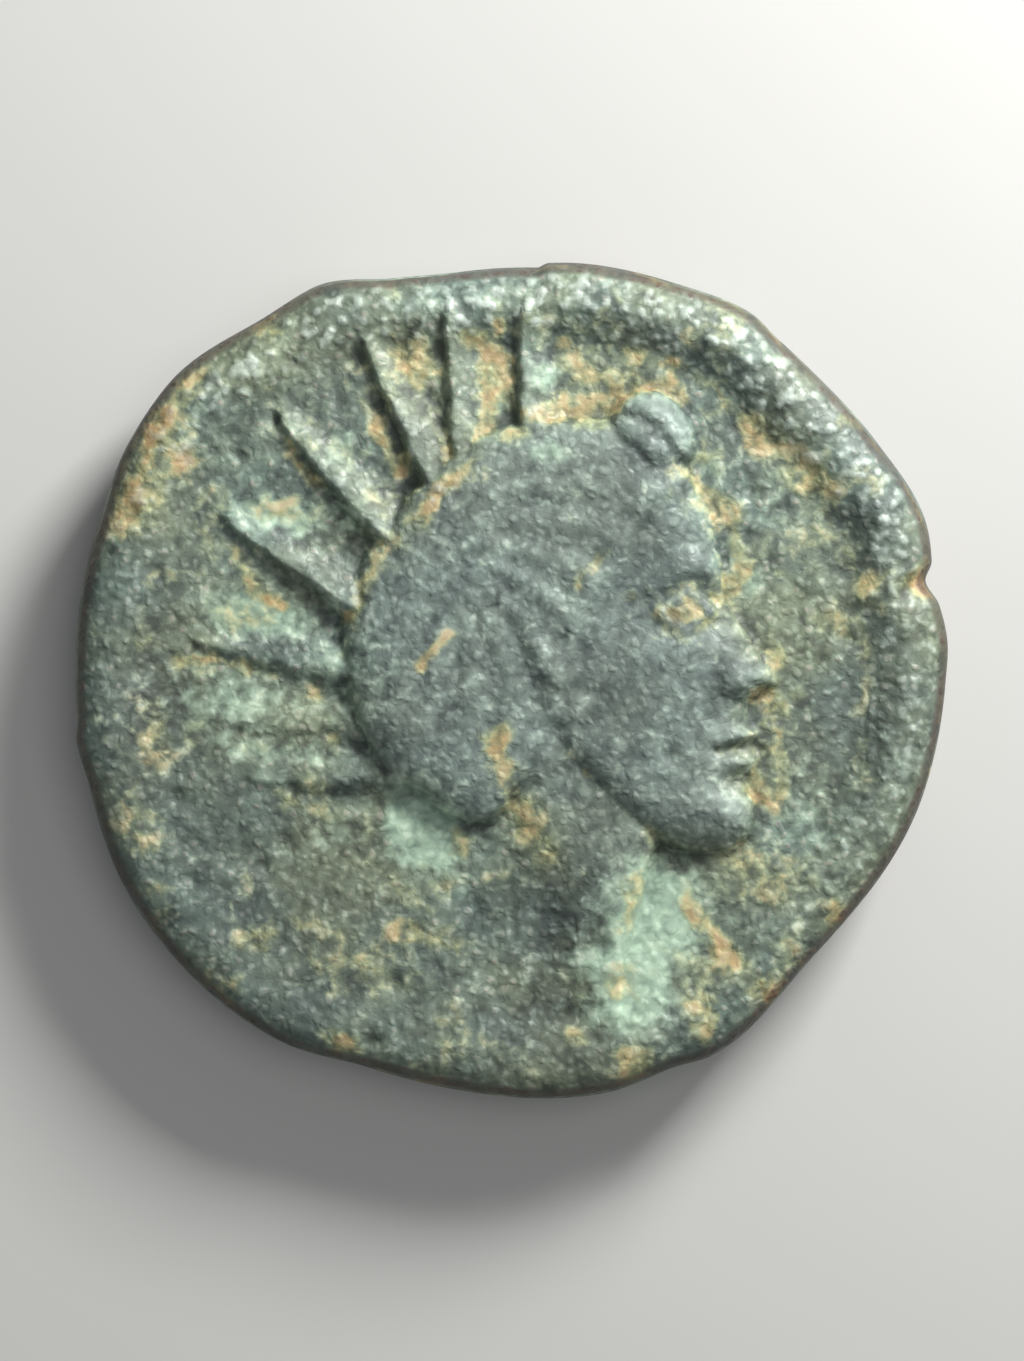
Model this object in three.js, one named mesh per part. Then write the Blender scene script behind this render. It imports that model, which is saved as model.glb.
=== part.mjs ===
// An ancient struck bronze coin, about 18 mm across, lying on its reverse with its obverse up.
// One solid: a cast flan with an uneven edge, struck between two dies.
// The obverse carries a radiate head facing right, the reverse a worn eight-rayed star.
// Millimetres, +Z up, +Y towards the top of the head. The origin is under the middle of the coin, on the
// plane that it lies on.

import * as THREE from 'three';

// Driving dimensions.

const flan = {
  width: 18.0,            // across the coin, left to right
  length: 17.25,          // across the coin, top to bottom
  coreThickness: 1.9,     // between the two fields
  taper: 0.25,            // the cast flan is this much smaller all round at its reverse
  obverseRound: 0.6,      // how far the worn edge rounds over on to the obverse
  reverseRound: 0.5,      // and on to the reverse
  roundLimit: 0.42,       // neither rounding takes more than this share of the edge's height
  faceShare: 0.8,         // the share of a rounding that belongs to the face, and not to the side
};

const rim = {
  rise: 0.3,              // metal pushed up round the obverse die
  crest: 0.75,            // where the raised metal is highest, in from the edge
  band: 1.75,             // how far it reaches in
  foot: 0.3,              // how far outside the edge its slope would reach the field
  highBearing: 45,        // degrees: the strike was uneven, and the rim stands highest here
  lowShare: 0.15,         // what is left of the rise on the far side
  reliefStart: 0.1,       // the struck design starts this far in from the edge
  reliefFull: 0.9,        // and is whole from here
};

const head = {
  height: 9.3,            // crown to chin
  centre: [0.55, 0.75],   // middle of the head from the middle of the coin
  tilt: 7,                // degrees that the face looks up
  rise: 0.58,             // height of the head over the field
  shoulder: 1.5,          // how far in from its outline the head reaches its full height
  foot: 0.14,             // half the width over which the outline runs out into the field
  formsStart: 0.3,        // forms on the head are whole from this far inside its outline
  hairRise: 0.07,         // how far the hair stands over the face
  knotRise: 0.64,
  knotShoulder: 0.8,
  groovesStart: 0.2,      // grooves in the knot are whole from this far inside its outline
  neckRise: 0.4,
  neckShoulder: 0.9,
  neckLean: 2.2,          // the back of the neck rises this slowly from the field
  neckBackShare: 0.2,     // what is left of the neck's height along its back
  fillet: 0.06,           // where head, neck, knot and rays meet
  wornTop: 0.78,          // wear has planed the relief off at this height
};

const rays = {
  rise: 0.42,             // height at the root
  tipShare: 0.45,         // what is left of the height and width at the tip
  longSide: 1.15,         // foot of the long flank
};

const star = {
  rise: 0.36,             // height that the arms were struck to
  wornTop: 0.26,          // the reverse is worn to one plane, on which the coin lies
  centre: [0.25, -0.15],  // the die was struck a little off the middle
  arms: 8,
  armLength: 5.1,
  armFoot: 0.75,          // half width at the root
  armTipShare: 0.35,      // what is left of that width at the tip
  boss: 1.25,             // radius of the middle
  bossRise: 0.47,
  border: 0.5,            // the border is level from the edge to here
  borderFoot: 1.1,        // and meets the field here
  borderRise: 0.29,
  designStart: 0.4,       // the star starts this far in from the edge
  designFull: 1.2,        // and is whole from here
};

const crack = {
  bearing: 13.4,          // degrees: where the flan split when it was struck
  length: 1.5,
  mouth: 0.3,
  depth: 0.16,
};

// Where the flan's edge lies: bearing in degrees anticlockwise from the right, and distance in millimetres
// for a flan of 18.0 by 17.25.
const edgeKnots = [
  [0, 8.95], [5, 9.02], [10, 8.95], [13.5, 8.77], [16, 9], [22, 9.13], [33, 8.97], [45, 8.9],
  [52, 8.93], [57, 9.04], [67.5, 8.85], [85, 8.64], [86.5, 8.53], [97, 8.51], [106, 8.65], [117, 9.07],
  [123, 9.05], [139, 9.34], [148, 9.29], [160, 9.06], [185, 8.97], [188, 9.05], [194, 8.96], [208, 9.01],
  [236, 8.88], [250, 8.51], [256, 8.48], [284, 8.73], [292, 8.66], [298, 8.77], [317, 8.44], [345, 8.8],
];

// The carving is in shares of the head's height, from the head's middle, with the face towards +x.

const headOutline = [
  [0.34, 0.41], [0.385, 0.32], [0.415, 0.22], [0.425, 0.115], [0.423, 0.06], [0.458, -0.035],
  [0.505, -0.125], [0.498, -0.158], [0.443, -0.18], [0.434, -0.215], [0.455, -0.25],
  [0.434, -0.281], [0.447, -0.314], [0.416, -0.355], [0.432, -0.41], [0.415, -0.47], [0.34, -0.505],
  [0.22, -0.475], [0.12, -0.41], [0.03, -0.33], [-0.06, -0.33], [-0.15, -0.38], [-0.24, -0.36],
  [-0.3, -0.3], [-0.365, -0.25], [-0.41, -0.17], [-0.432, -0.05], [-0.43, 0.07], [-0.38, 0.2],
  [-0.29, 0.32], [-0.18, 0.42], [-0.04, 0.48], [0.12, 0.49], [0.25, 0.465],
];

const knotOutline = [
  [0.205, 0.46], [0.195, 0.385], [0.24, 0.325], [0.32, 0.32], [0.385, 0.37], [0.39, 0.45],
  [0.335, 0.515], [0.255, 0.515],
];

const neckOutline = [
  [0.21, -0.42], [0.175, -0.54], [0.135, -0.64], [0.1, -0.75], [0.075, -0.84], [0.02, -0.88],
  [-0.045, -0.85], [-0.1, -0.76], [-0.16, -0.64], [-0.215, -0.5], [-0.24, -0.36], [-0.15, -0.2],
  [0.1, -0.2],
];

// Where the back of the neck rises from.
const neckBack = [[-0.26, -0.3], [0, -0.9]];

// Forms on the head. A dome has its middle and its reach along and across; a stroke has a path and a width.
// The rise is in millimetres, and a hollow's is negative.
const headForms = {
  hairRoll: { path: [[0.35, 0.33], [0.24, 0.24], [0.13, 0.1], [0.06, -0.06]], width: 0.045, rise: 0.09 },
  temple: { at: [0.25, 0.12], reach: [0.05, 0.1], turn: -30, rise: -0.08 },
  browRidge: { path: [[0.42, 0.105], [0.35, 0.135], [0.26, 0.105]], width: 0.03, rise: 0.11 },
  eyeSocket: { at: [0.335, 0.04], reach: [0.08, 0.055], turn: 8, rise: -0.26 },
  eyeball: { at: [0.325, 0.035], reach: [0.038, 0.03], turn: 0, rise: 0.22 },
  upperLid: { path: [[0.38, 0.03], [0.335, 0.075], [0.27, 0.04]], width: 0.016, rise: 0.13 },
  lowerLid: { path: [[0.375, 0.02], [0.325, -0.008], [0.275, 0.02]], width: 0.015, rise: 0.08 },
  cheek: { at: [0.23, -0.12], reach: [0.14, 0.11], turn: 20, rise: 0.12 },
  noseWing: { at: [0.42, -0.14], reach: [0.034, 0.03], turn: 0, rise: 0.14 },
  noseGroove: { path: [[0.385, -0.09], [0.373, -0.16], [0.35, -0.2]], width: 0.02, rise: -0.07 },
  upperLip: { at: [0.415, -0.252], reach: [0.036, 0.02], turn: 5, rise: 0.08 },
  lowerLip: { at: [0.41, -0.312], reach: [0.034, 0.02], turn: 0, rise: 0.08 },
  mouthLine: { path: [[0.46, -0.281], [0.36, -0.278]], width: 0.015, rise: -0.15 },
  underLip: { at: [0.39, -0.358], reach: [0.04, 0.022], turn: 0, rise: -0.09 },
  chin: { at: [0.38, -0.425], reach: [0.06, 0.055], turn: 0, rise: 0.12 },
  ear: { path: [[0.02, 0.08], [-0.02, 0.03], [0, -0.04], [0.03, -0.08]], width: 0.025, rise: 0.07 },
  jaw: { path: [[0.28, -0.44], [0.14, -0.37], [0.05, -0.22]], width: 0.06, rise: 0.06 },
  jawGroove: { path: [[0.015, -0.2], [0.06, -0.34], [0.18, -0.49]], width: 0.035, rise: -0.16 },
};

// Worn grooves between the locks of the knot.
const knotForms = {
  lowLock: { path: [[0.19, 0.43], [0.26, 0.4], [0.3, 0.33]], width: 0.013, rise: -0.07 },
  middleLock: { path: [[0.22, 0.49], [0.31, 0.44], [0.36, 0.34]], width: 0.013, rise: -0.07 },
  topLock: { path: [[0.3, 0.52], [0.36, 0.47], [0.39, 0.41]], width: 0.013, rise: -0.06 },
};

// Hair is combed from the crown of the head in worn strands.
const strands = {
  crown: [-0.24, 0.22],
  bare: 0.05,             // no strands are left this close to the crown
  full: 0.25,             // and they are whole from here
  edge: 0.03,             // width of the step at the hairline
  count: 22,
  bend: 1.4,
  rise: 0.018,
  hairline: [
    [0.45, 0.33], [0.33, 0.29], [0.23, 0.19], [0.13, 0.07], [0.06, -0.08], [0, -0.22], [-0.3, -0.5],
    [-0.8, -0.5], [-0.8, 0.9], [0.5, 0.9],
  ],
};

// Each ray's tip and root: bearing in degrees and share of the head's height from the head's middle. Wear has
// left some rays less of their height, and a wider steep side.
const rayPlaces = [
  { tip: [86, 0.72], root: [86.5, 0.45], left: 0.9, steepSide: 0.36 },
  { tip: [98.5, 0.75], root: [108, 0.42], left: 0.8, steepSide: 0.36 },
  { tip: [113.2, 0.755], root: [117.5, 0.4], left: 1, steepSide: 0.38 },
  { tip: [132.2, 0.74], root: [139, 0.4], left: 1, steepSide: 0.38 },
  { tip: [151.5, 0.728], root: [162, 0.41], left: 1, steepSide: 0.42 },
  { tip: [173, 0.73], root: [181.5, 0.42], left: 0.65, steepSide: 0.6 },
  { tip: [186, 0.72], root: [198, 0.43], left: 0.35, steepSide: 0.7 },
  { tip: [199, 0.68], root: [214.5, 0.43], left: 0.6, steepSide: 0.65 },
];

// How finely the faces are cut into triangles.
const mesh = {
  cells: 256,             // a power of two, across the coin
  coarsestStep: 16,       // in cells
  obverseTolerance: 0.0285,
  reverseTolerance: 0.07,
  edgeTolerance: 0.018,
};

// Small sums.

const radians = THREE.MathUtils.degToRad;
const clamp = THREE.MathUtils.clamp;
const mix = THREE.MathUtils.lerp;
const smoothstep = THREE.MathUtils.smoothstep;

function turned([x, y], degrees) {
  const c = Math.cos(radians(degrees));
  const s = Math.sin(radians(degrees));
  return [x * c - y * s, x * s + y * c];
}

function polar([degrees, distance]) {
  return [distance * Math.cos(radians(degrees)), distance * Math.sin(radians(degrees))];
}

// Distance from a point to a straight stretch, how far along it the nearest point is, and on which side.
function nearStretch([x, y], [ax, ay], [bx, by]) {
  const [dx, dy] = [bx - ax, by - ay];
  const along = clamp(((x - ax) * dx + (y - ay) * dy) / (dx * dx + dy * dy), 0, 1);
  const distance = Math.hypot(x - ax - along * dx, y - ay - along * dy);
  return { distance, along, side: Math.sign(dx * (y - ay) - dy * (x - ax)) };
}

function distanceToPath(point, path) {
  return Math.min(...path.slice(1).map((end, i) => nearStretch(point, path[i], end).distance));
}

// A closed smooth outline through the given points. The answer is how deep a point lies inside it, and
// less than nothing outside.
function closedOutline(points, steps = 4) {
  const curve = new THREE.CatmullRomCurve3(
    points.map(([x, y]) => new THREE.Vector3(x, y, 0)), true, 'catmullrom', 0.5);
  const ring = curve.getPoints(points.length * steps).map((p) => [p.x, p.y]);
  const stretches = ring.slice(1).map((end, i) => [ring[i], end]);
  const inside = ([x, y]) => stretches.reduce((odd, [[ax, ay], [bx, by]]) => {
    const crosses = (ay > y) !== (by > y) && x < ax + ((y - ay) / (by - ay)) * (bx - ax);
    return crosses ? !odd : odd;
  }, false);
  return (point) => {
    const distance = Math.min(...stretches.map(([a, b]) => nearStretch(point, a, b).distance));
    return inside(point) ? distance : -distance;
  };
}

// The flan's edge.

// Slopes that keep the curve through the knots from swinging past them.
const knotCount = edgeKnots.length;
const knotGap = edgeKnots.map(([bearing], i) => (edgeKnots[(i + 1) % knotCount][0] - bearing + 360) % 360);
const knotGrade = edgeKnots.map(([, r], i) => (edgeKnots[(i + 1) % knotCount][1] - r) / knotGap[i]);
const knotSlope = edgeKnots.map((_, i) => {
  const before = knotGrade[(i + knotCount - 1) % knotCount];
  const after = knotGrade[i];
  return before * after > 0 ? (2 * before * after) / (before + after) : 0;
});

function knotRadius(degrees) {
  const bearing = ((degrees % 360) + 360) % 360;
  const i = edgeKnots.findLastIndex(([start]) => start <= bearing);
  const next = (i + 1) % knotCount;
  const t = (bearing - edgeKnots[i][0]) / knotGap[i];
  return edgeKnots[i][1] * (1 + 2 * t) * (1 - t) ** 2 + edgeKnots[next][1] * t * t * (3 - 2 * t)
    + knotGap[i] * (knotSlope[i] * t * (1 - t) ** 2 - knotSlope[next] * t * t * (1 - t));
}

const edgeBox = new THREE.Box2().setFromPoints(
  Array.from({ length: 720 }, (_, i) => new THREE.Vector2(...polar([i / 2, knotRadius(i / 2)]))));
const edgeMiddle = edgeBox.getCenter(new THREE.Vector2());
const edgeSize = edgeBox.getSize(new THREE.Vector2());

// Where the edge is in a direction, taken in from it by the inset, with the flan's box centred on the origin.
function edgePoint(direction, inset) {
  const radius = knotRadius(THREE.MathUtils.radToDeg(direction)) - inset;
  return [
    ((radius * Math.cos(direction) - edgeMiddle.x) * flan.width) / edgeSize.x,
    ((radius * Math.sin(direction) - edgeMiddle.y) * flan.length) / edgeSize.y,
  ];
}

// Obverse relief.

const insideHead = closedOutline(headOutline);
const insideKnot = closedOutline(knotOutline);
const insideNeck = closedOutline(neckOutline);
const insideHair = closedOutline(strands.hairline, 2);

function toHead([x, y]) {
  const [hx, hy] = turned([x - head.centre[0], y - head.centre[1]], -head.tilt);
  return [hx / head.height, hy / head.height];
}

// Steep at the outline, level further in, and running out softly at its foot.
function pillow(depth, reach) {
  const share = clamp((depth + head.foot) / (reach + head.foot), 0, 1);
  return (1 - (1 - share) ** 3) * smoothstep(depth, -head.foot, head.foot);
}

// The higher of two surfaces, with a fillet of about the given size where they meet.
function blend(a, b, size) {
  const near = Math.max(size - Math.abs(a - b), 0) / size;
  return Math.max(a, b) + (size * near * near) / 4;
}

function formRise(form, point) {
  if (form.path) return form.rise * Math.exp(-((distanceToPath(point, form.path) / form.width) ** 2));
  const [dx, dy] = turned([point[0] - form.at[0], point[1] - form.at[1]], -form.turn);
  return form.rise * Math.exp(-((dx / form.reach[0]) ** 2) - (dy / form.reach[1]) ** 2);
}

function hairRise(point) {
  const covered = smoothstep(insideHair(point), 0, strands.edge);
  const [dx, dy] = [point[0] - strands.crown[0], point[1] - strands.crown[1]];
  const fromCrown = Math.hypot(dx, dy);
  const lie = Math.atan2(dy, dx) + strands.bend * fromCrown;
  const strand = smoothstep(fromCrown, strands.bare, strands.full) * Math.cos(strands.count * lie);
  return covered * (head.hairRise + strands.rise * strand);
}

function headRise(point) {
  const depth = insideHead(point) * head.height;
  const forms = Object.values(headForms).reduce((sum, form) => sum + formRise(form, point), hairRise(point));
  return head.rise * pillow(depth, head.shoulder) + forms * smoothstep(depth, 0, head.formsStart);
}

// One steep flank and one long one, rounded along the top.
function rayRise(point) {
  return Math.max(...rayPlaces.map(({ tip, root, left, steepSide }) => {
    const { distance, along, side } = nearStretch(point, polar(root), polar(tip));
    const size = mix(1, rays.tipShare, along);
    const foot = (side > 0 ? steepSide : rays.longSide) * size;
    return rays.rise * left * size * (1 - smoothstep(distance * head.height, 0, foot));
  }));
}

function crackRise([x, y]) {
  const direction = radians(crack.bearing);
  const mouth = edgePoint(direction, 0);
  const end = edgePoint(direction, crack.length);
  const { distance, along } = nearStretch([x, y], mouth, end);
  return -crack.depth * (1 - along) * Math.exp(-((distance / crack.mouth) ** 2));
}

// The raised metal round the obverse is a rounded ridge, highest towards one side.
function rimRise([x, y], fromEdge) {
  const facing = 0.5 + 0.5 * Math.cos(Math.atan2(y, x) - radians(rim.highBearing));
  const ridge = smoothstep(fromEdge, -rim.foot, rim.crest) * (1 - smoothstep(fromEdge, rim.crest, rim.band));
  return rim.rise * mix(rim.lowShare, 1, facing) * ridge;
}

// The neck's front is steep and its back runs out slowly into the field.
function neckRise(point) {
  const lean = smoothstep(distanceToPath(point, neckBack) * head.height, 0, head.neckLean);
  const left = mix(head.neckBackShare, 1, lean);
  return head.neckRise * left * pillow(insideNeck(point) * head.height, head.neckShoulder);
}

function knotRise(point) {
  const depth = insideKnot(point) * head.height;
  const grooves = Object.values(knotForms).reduce((sum, form) => sum + formRise(form, point), 0);
  return head.knotRise * pillow(depth, head.knotShoulder) + grooves * smoothstep(depth, 0, head.groovesStart);
}

function obverseRise(point, fromEdge) {
  const spot = toHead(point);
  const others = [neckRise, knotRise, rayRise];
  const figure = others.reduce((all, form) => blend(all, form(spot), head.fillet), headRise(spot));
  const kept = smoothstep(fromEdge, rim.reliefStart, rim.reliefFull);
  return Math.min(figure * kept, head.wornTop) + rimRise(point, fromEdge) + crackRise(point);
}

// Reverse relief.

function starRise([x, y]) {
  const distance = Math.hypot(x - star.centre[0], y - star.centre[1]);
  const direction = Math.atan2(y - star.centre[1], x - star.centre[0]);
  const armTurn = (2 * Math.PI) / star.arms;
  const fromArm = distance * Math.sin(Math.abs(direction - armTurn * Math.round(direction / armTurn)));
  const left = clamp(1 - distance / star.armLength, 0, 1);
  const foot = star.armFoot * mix(star.armTipShare, 1, left);
  const arm = star.rise * Math.sqrt(left) * (1 - smoothstep(fromArm, 0, foot));
  const boss = star.bossRise * Math.exp(-((distance / star.boss) ** 4));
  return Math.max(arm, boss);
}

function reverseRise(point, fromEdge) {
  const design = starRise(point) * smoothstep(fromEdge, star.designStart, star.designFull);
  const border = star.borderRise * (1 - smoothstep(fromEdge, star.border, star.borderFoot));
  return Math.min(Math.max(design, border), star.wornTop);
}

// The two faces and the side.

const edgeHeight = star.wornTop + flan.coreThickness;
const largestRound = flan.roundLimit * edgeHeight;
const sides = {
  obverse: { round: Math.min(flan.obverseRound, largestRound), taper: 0, rise: obverseRise },
  reverse: { round: Math.min(flan.reverseRound, largestRound), taper: flan.taper, rise: reverseRise },
};

// A square of side two laid over the whole face without folds: its rings become rings of the coin.
function squareToDisc(u, v) {
  if (u === 0 && v === 0) return { reach: 0, direction: 0 };
  const eighths = Math.abs(u) > Math.abs(v) ? v / u + (u < 0 ? 4 : 0) : 2 - u / v + (v < 0 ? 4 : 0);
  return { reach: Math.max(Math.abs(u), Math.abs(v)), direction: (Math.PI / 4) * eighths };
}

// A point of a face: its place on the plan, and how high it stands over the field.
function facePoint(side, u, v) {
  const { reach, direction } = squareToDisc(u, v);
  const inset = side.taper + side.round * (1 - flan.faceShare);
  const edge = edgePoint(direction, inset);
  const point = [edge[0] * reach, edge[1] * reach];
  const fromEdge = Math.hypot(...edge) * (1 - reach);
  const over = flan.faceShare * clamp(1 - fromEdge / (side.round * flan.faceShare), 0, 1);
  const roundedOff = side.round * (1 - Math.sqrt(1 - over * over));
  return [...point, side.rise(point, fromEdge) - roundedOff];
}

const largestStep = (column, row) => {
  const both = column | row;
  return both & -both;
};

// The corners of the two triangles whose long side a grid point halves: they have to be there first.
function neededBy(column, row) {
  const step = largestStep(column, row);
  const [c, r] = [column / step, row / step];
  if (c % 2 && r % 2) {
    const corners = [[-1, -1], [1, -1], [-1, 1], [1, 1]].map(([i, j]) => [column + i * step, row + j * step]);
    return corners.filter(([i, j]) => ((i + j) / (2 * step)) % 2);
  }
  return c % 2 ? [[column, row - step], [column, row + step]] : [[column - step, row], [column + step, row]];
}

// Halves right triangles on a square grid wherever the face leaves the straight line by more than the
// tolerance. Returns the points, the triangles and the points round the edge, in order.
function cutFace(side, tolerance) {
  const { cells } = mesh;
  const size = cells + 1;
  const at = (column, row) => row * size + column;
  const grid = [];
  for (let row = 0; row < size; row++) {
    for (let column = 0; column < size; column++) {
      grid.push(facePoint(side, (2 * column) / cells - 1, (2 * row) / cells - 1));
    }
  }

  const used = new Set();
  const use = (column, row) => {
    if (column < 0 || row < 0 || column > cells || row > cells || used.has(at(column, row))) return;
    used.add(at(column, row));
    if (largestStep(column, row) < cells) neededBy(column, row).forEach(([c, r]) => use(c, r));
  };
  const onEdge = (column, row) => column % cells === 0 || row % cells === 0;
  const error = (a, b, middle, edge) => {
    const offset = [0, 1, 2].map((k) => grid[middle][k] - (grid[a][k] + grid[b][k]) / 2);
    return edge ? Math.hypot(...offset) / mesh.edgeTolerance : Math.abs(offset[2]) / tolerance;
  };

  const split = (a, b, c, visit) => {
    const middle = [(a[0] + b[0]) / 2, (a[1] + b[1]) / 2];
    if (!visit(a, b, c, middle)) return;
    split(c, a, middle, visit);
    split(b, c, middle, visit);
  };
  const halves = [
    [[0, 0], [cells, cells], [cells, 0]],
    [[cells, cells], [0, 0], [0, cells]],
  ];
  for (const [a, b, c] of halves) {
    split(a, b, c, (p, q, _, m) => {
      if (!Number.isInteger(m[0])) return false;
      const coarse = largestStep(...m) >= mesh.coarsestStep;
      if (coarse || error(at(...p), at(...q), at(...m), onEdge(...m)) > 1) use(...m);
      return true;
    });
  }

  const triangles = [];
  for (const [a, b, c] of halves) {
    split(a, b, c, (p, q, r, m) => {
      if (Number.isInteger(m[0]) && used.has(at(...m))) return true;
      triangles.push([at(...p), at(...r), at(...q)]);
      return false;
    });
  }

  const walk = Array.from({ length: 4 * cells }, (_, i) => {
    const along = i % cells;
    return [[cells, along], [cells - along, cells], [0, cells - along], [along, 0]][Math.floor(i / cells)];
  });
  const isCorner = ([column, row]) => column % cells === 0 && row % cells === 0;
  const loop = walk.filter((spot) => isCorner(spot) || used.has(at(...spot))).map((spot) => at(...spot));
  return { grid, triangles, loop };
}

// One solid from the two faces and the side between them.
function coinGeometry() {
  const points = [];
  const faces = [];
  const add = (point) => points.push(point) - 1;

  const laidIn = (face, toSolid, turnOver) => {
    const index = new Map();
    const place = (i) => {
      if (!index.has(i)) index.set(i, add(toSolid(face.grid[i])));
      return index.get(i);
    };
    face.triangles.forEach(([a, b, c]) => faces.push(turnOver ? [a, c, b].map(place) : [a, b, c].map(place)));
    return face.loop.map(place);
  };
  const obverse = cutFace(sides.obverse, mesh.obverseTolerance);
  const reverse = cutFace(sides.reverse, mesh.reverseTolerance);
  const topLoop = laidIn(obverse, ([x, y, z]) => [x, y, edgeHeight + z], false);
  const lowLoop = laidIn(reverse, ([x, y, z]) => [x, y, star.wornTop - z], true);

  // The side runs straight between the two roundings, on the same bearings as the obverse's edge.
  const bearings = topLoop.map((i) => {
    const [x, y] = points[i];
    const uncentredX = (x * edgeSize.x) / flan.width + edgeMiddle.x;
    const uncentredY = (y * edgeSize.y) / flan.length + edgeMiddle.y;
    return Math.atan2(uncentredY, uncentredX);
  });
  const ring = (inset, height) => bearings.map((direction) => add([...edgePoint(direction, inset), height]));
  const upper = ring(0, edgeHeight - sides.obverse.round);
  const lower = ring(flan.taper, sides.reverse.round);

  const bearingOf = (i) => (Math.atan2(points[i][1], points[i][0]) + 2 * Math.PI) % (2 * Math.PI);
  const fromFirst = (loop) => {
    const first = loop.reduce((best, _, i) => (bearingOf(loop[i]) < bearingOf(loop[best]) ? i : best), 0);
    return [...loop.slice(first), ...loop.slice(0, first)];
  };
  // Joins two rings that may have different numbers of points.
  const join = (above, below) => {
    const [a, b] = [fromFirst(above), fromFirst(below)];
    let [i, j] = [0, 0];
    while (i < a.length || j < b.length) {
      const nextA = i + 1 < a.length ? bearingOf(a[i + 1]) : 2 * Math.PI + bearingOf(a[0]);
      const nextB = j + 1 < b.length ? bearingOf(b[j + 1]) : 2 * Math.PI + bearingOf(b[0]);
      const [here, there] = [a[i % a.length], b[j % b.length]];
      if (j >= b.length || (i < a.length && nextA < nextB)) {
        faces.push([here, there, a[(i + 1) % a.length]]);
        i++;
      } else {
        faces.push([here, there, b[(j + 1) % b.length]]);
        j++;
      }
    }
  };
  join(topLoop, upper);
  join(upper, lower);
  join(lower, lowLoop);

  const geometry = new THREE.BufferGeometry();
  geometry.setAttribute('position', new THREE.Float32BufferAttribute(points.flat(), 3));
  geometry.setIndex(faces.flat());
  geometry.computeVertexNormals();
  return geometry;
}

const patina = new THREE.MeshStandardMaterial({ color: 0x6f7f77, roughness: 0.6, metalness: 0.2 });

const coin = new THREE.Mesh(coinGeometry(), patina);
coin.name = 'coin';

const part = new THREE.Group();
part.add(coin);

export default part;
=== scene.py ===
import math

import bpy
import numpy as np
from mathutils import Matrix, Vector


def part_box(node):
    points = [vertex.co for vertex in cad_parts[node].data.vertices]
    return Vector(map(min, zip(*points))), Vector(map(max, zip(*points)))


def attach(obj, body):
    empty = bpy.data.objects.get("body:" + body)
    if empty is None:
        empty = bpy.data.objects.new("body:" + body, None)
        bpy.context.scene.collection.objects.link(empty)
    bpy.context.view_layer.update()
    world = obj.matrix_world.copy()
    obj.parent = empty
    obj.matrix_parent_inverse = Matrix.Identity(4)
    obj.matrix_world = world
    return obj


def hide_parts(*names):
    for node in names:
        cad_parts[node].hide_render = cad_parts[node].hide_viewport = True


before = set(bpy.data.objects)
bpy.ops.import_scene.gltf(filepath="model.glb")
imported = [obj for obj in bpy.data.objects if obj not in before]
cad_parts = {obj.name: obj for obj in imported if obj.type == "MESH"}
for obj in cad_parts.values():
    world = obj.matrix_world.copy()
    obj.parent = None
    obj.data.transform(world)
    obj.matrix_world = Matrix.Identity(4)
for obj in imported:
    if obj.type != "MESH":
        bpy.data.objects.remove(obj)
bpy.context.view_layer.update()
boxLow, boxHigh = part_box("coin")
metresPerMm = 0.001
boxSize = [(high - low) / metresPerMm for low, high in zip(boxLow, boxHigh)]
boxMiddle = [(high + low) / 2 / metresPerMm for low, high in zip(boxLow, boxHigh)]


# Small sums on whole arrays.


def smooth(value, start, end):
    # 0 before start and 1 after end, with an S-shaped run between them
    share = np.clip((value - start) / (end - start), 0, 1)
    return share * share * (3 - 2 * share)


def mix(a, b, share):
    # a where the share is 0 and b where it is 1, with a straight run between them
    return a + (b - a) * share


def turned(x, y, degrees):
    # Turned about the middle, counter-clockwise
    c, s = math.cos(math.radians(degrees)), math.sin(math.radians(degrees))
    return x * c - y * s, x * s + y * c


def polar(degrees, distance):
    # The point at a bearing, counted from the right, and a distance from the middle
    return (distance * math.cos(math.radians(degrees)), distance * math.sin(math.radians(degrees)))


def nearStretch(x, y, start, end):
    # Distance to the straight stretch from start to end, how far along it, and the side that a point lies on
    dx, dy = end[0] - start[0], end[1] - start[1]
    px, py = x - start[0], y - start[1]
    along = np.clip((px * dx + py * dy) / (dx * dx + dy * dy), 0, 1)
    distance = np.hypot(px - along * dx, py - along * dy)
    return distance, along, np.sign(dx * py - dy * px)


def distanceToPath(x, y, path):
    # Distance to the nearest of the straight stretches of a path
    return np.min([nearStretch(x, y, a, b)[0] for a, b in zip(path, path[1:])], axis=0)


def closedOutline(points, steps=4):
    # A closed cubic curve through the points, as a ring of short straight stretches. Its slope at each point
    # is half the way from the point before to the point after.
    p = np.array(points)
    before, after, beyond = np.roll(p, 1, 0), np.roll(p, -1, 0), np.roll(p, -2, 0)
    ring = []
    for t in np.arange(steps) / steps:
        ring.append(
            p
            + 0.5 * t * (after - before)
            + 0.5 * t**2 * (2 * before - 5 * p + 4 * after - beyond)
            + 0.5 * t**3 * (3 * p - before - 3 * after + beyond)
        )
    return np.stack(ring, axis=1).reshape(-1, 2)


def insideOutline(x, y, ring):
    # Distance to the outline, more than nothing inside it and less outside it. A point is inside when a line
    # from it to the right crosses the outline an odd number of times.
    nearest = np.full(x.shape, np.inf)
    odd = np.zeros(x.shape, bool)
    for (ax, ay), (bx, by) in zip(ring, np.roll(ring, -1, 0)):
        nearest = np.minimum(nearest, nearStretch(x, y, (ax, ay), (bx, by))[0])
        if ay != by:
            odd ^= ((ay > y) != (by > y)) & (x < ax + (y - ay) / (by - ay) * (bx - ax))
    return np.where(odd, nearest, -nearest)


noiseReach = 12.0  # half the side of the square that the noise covers

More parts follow.
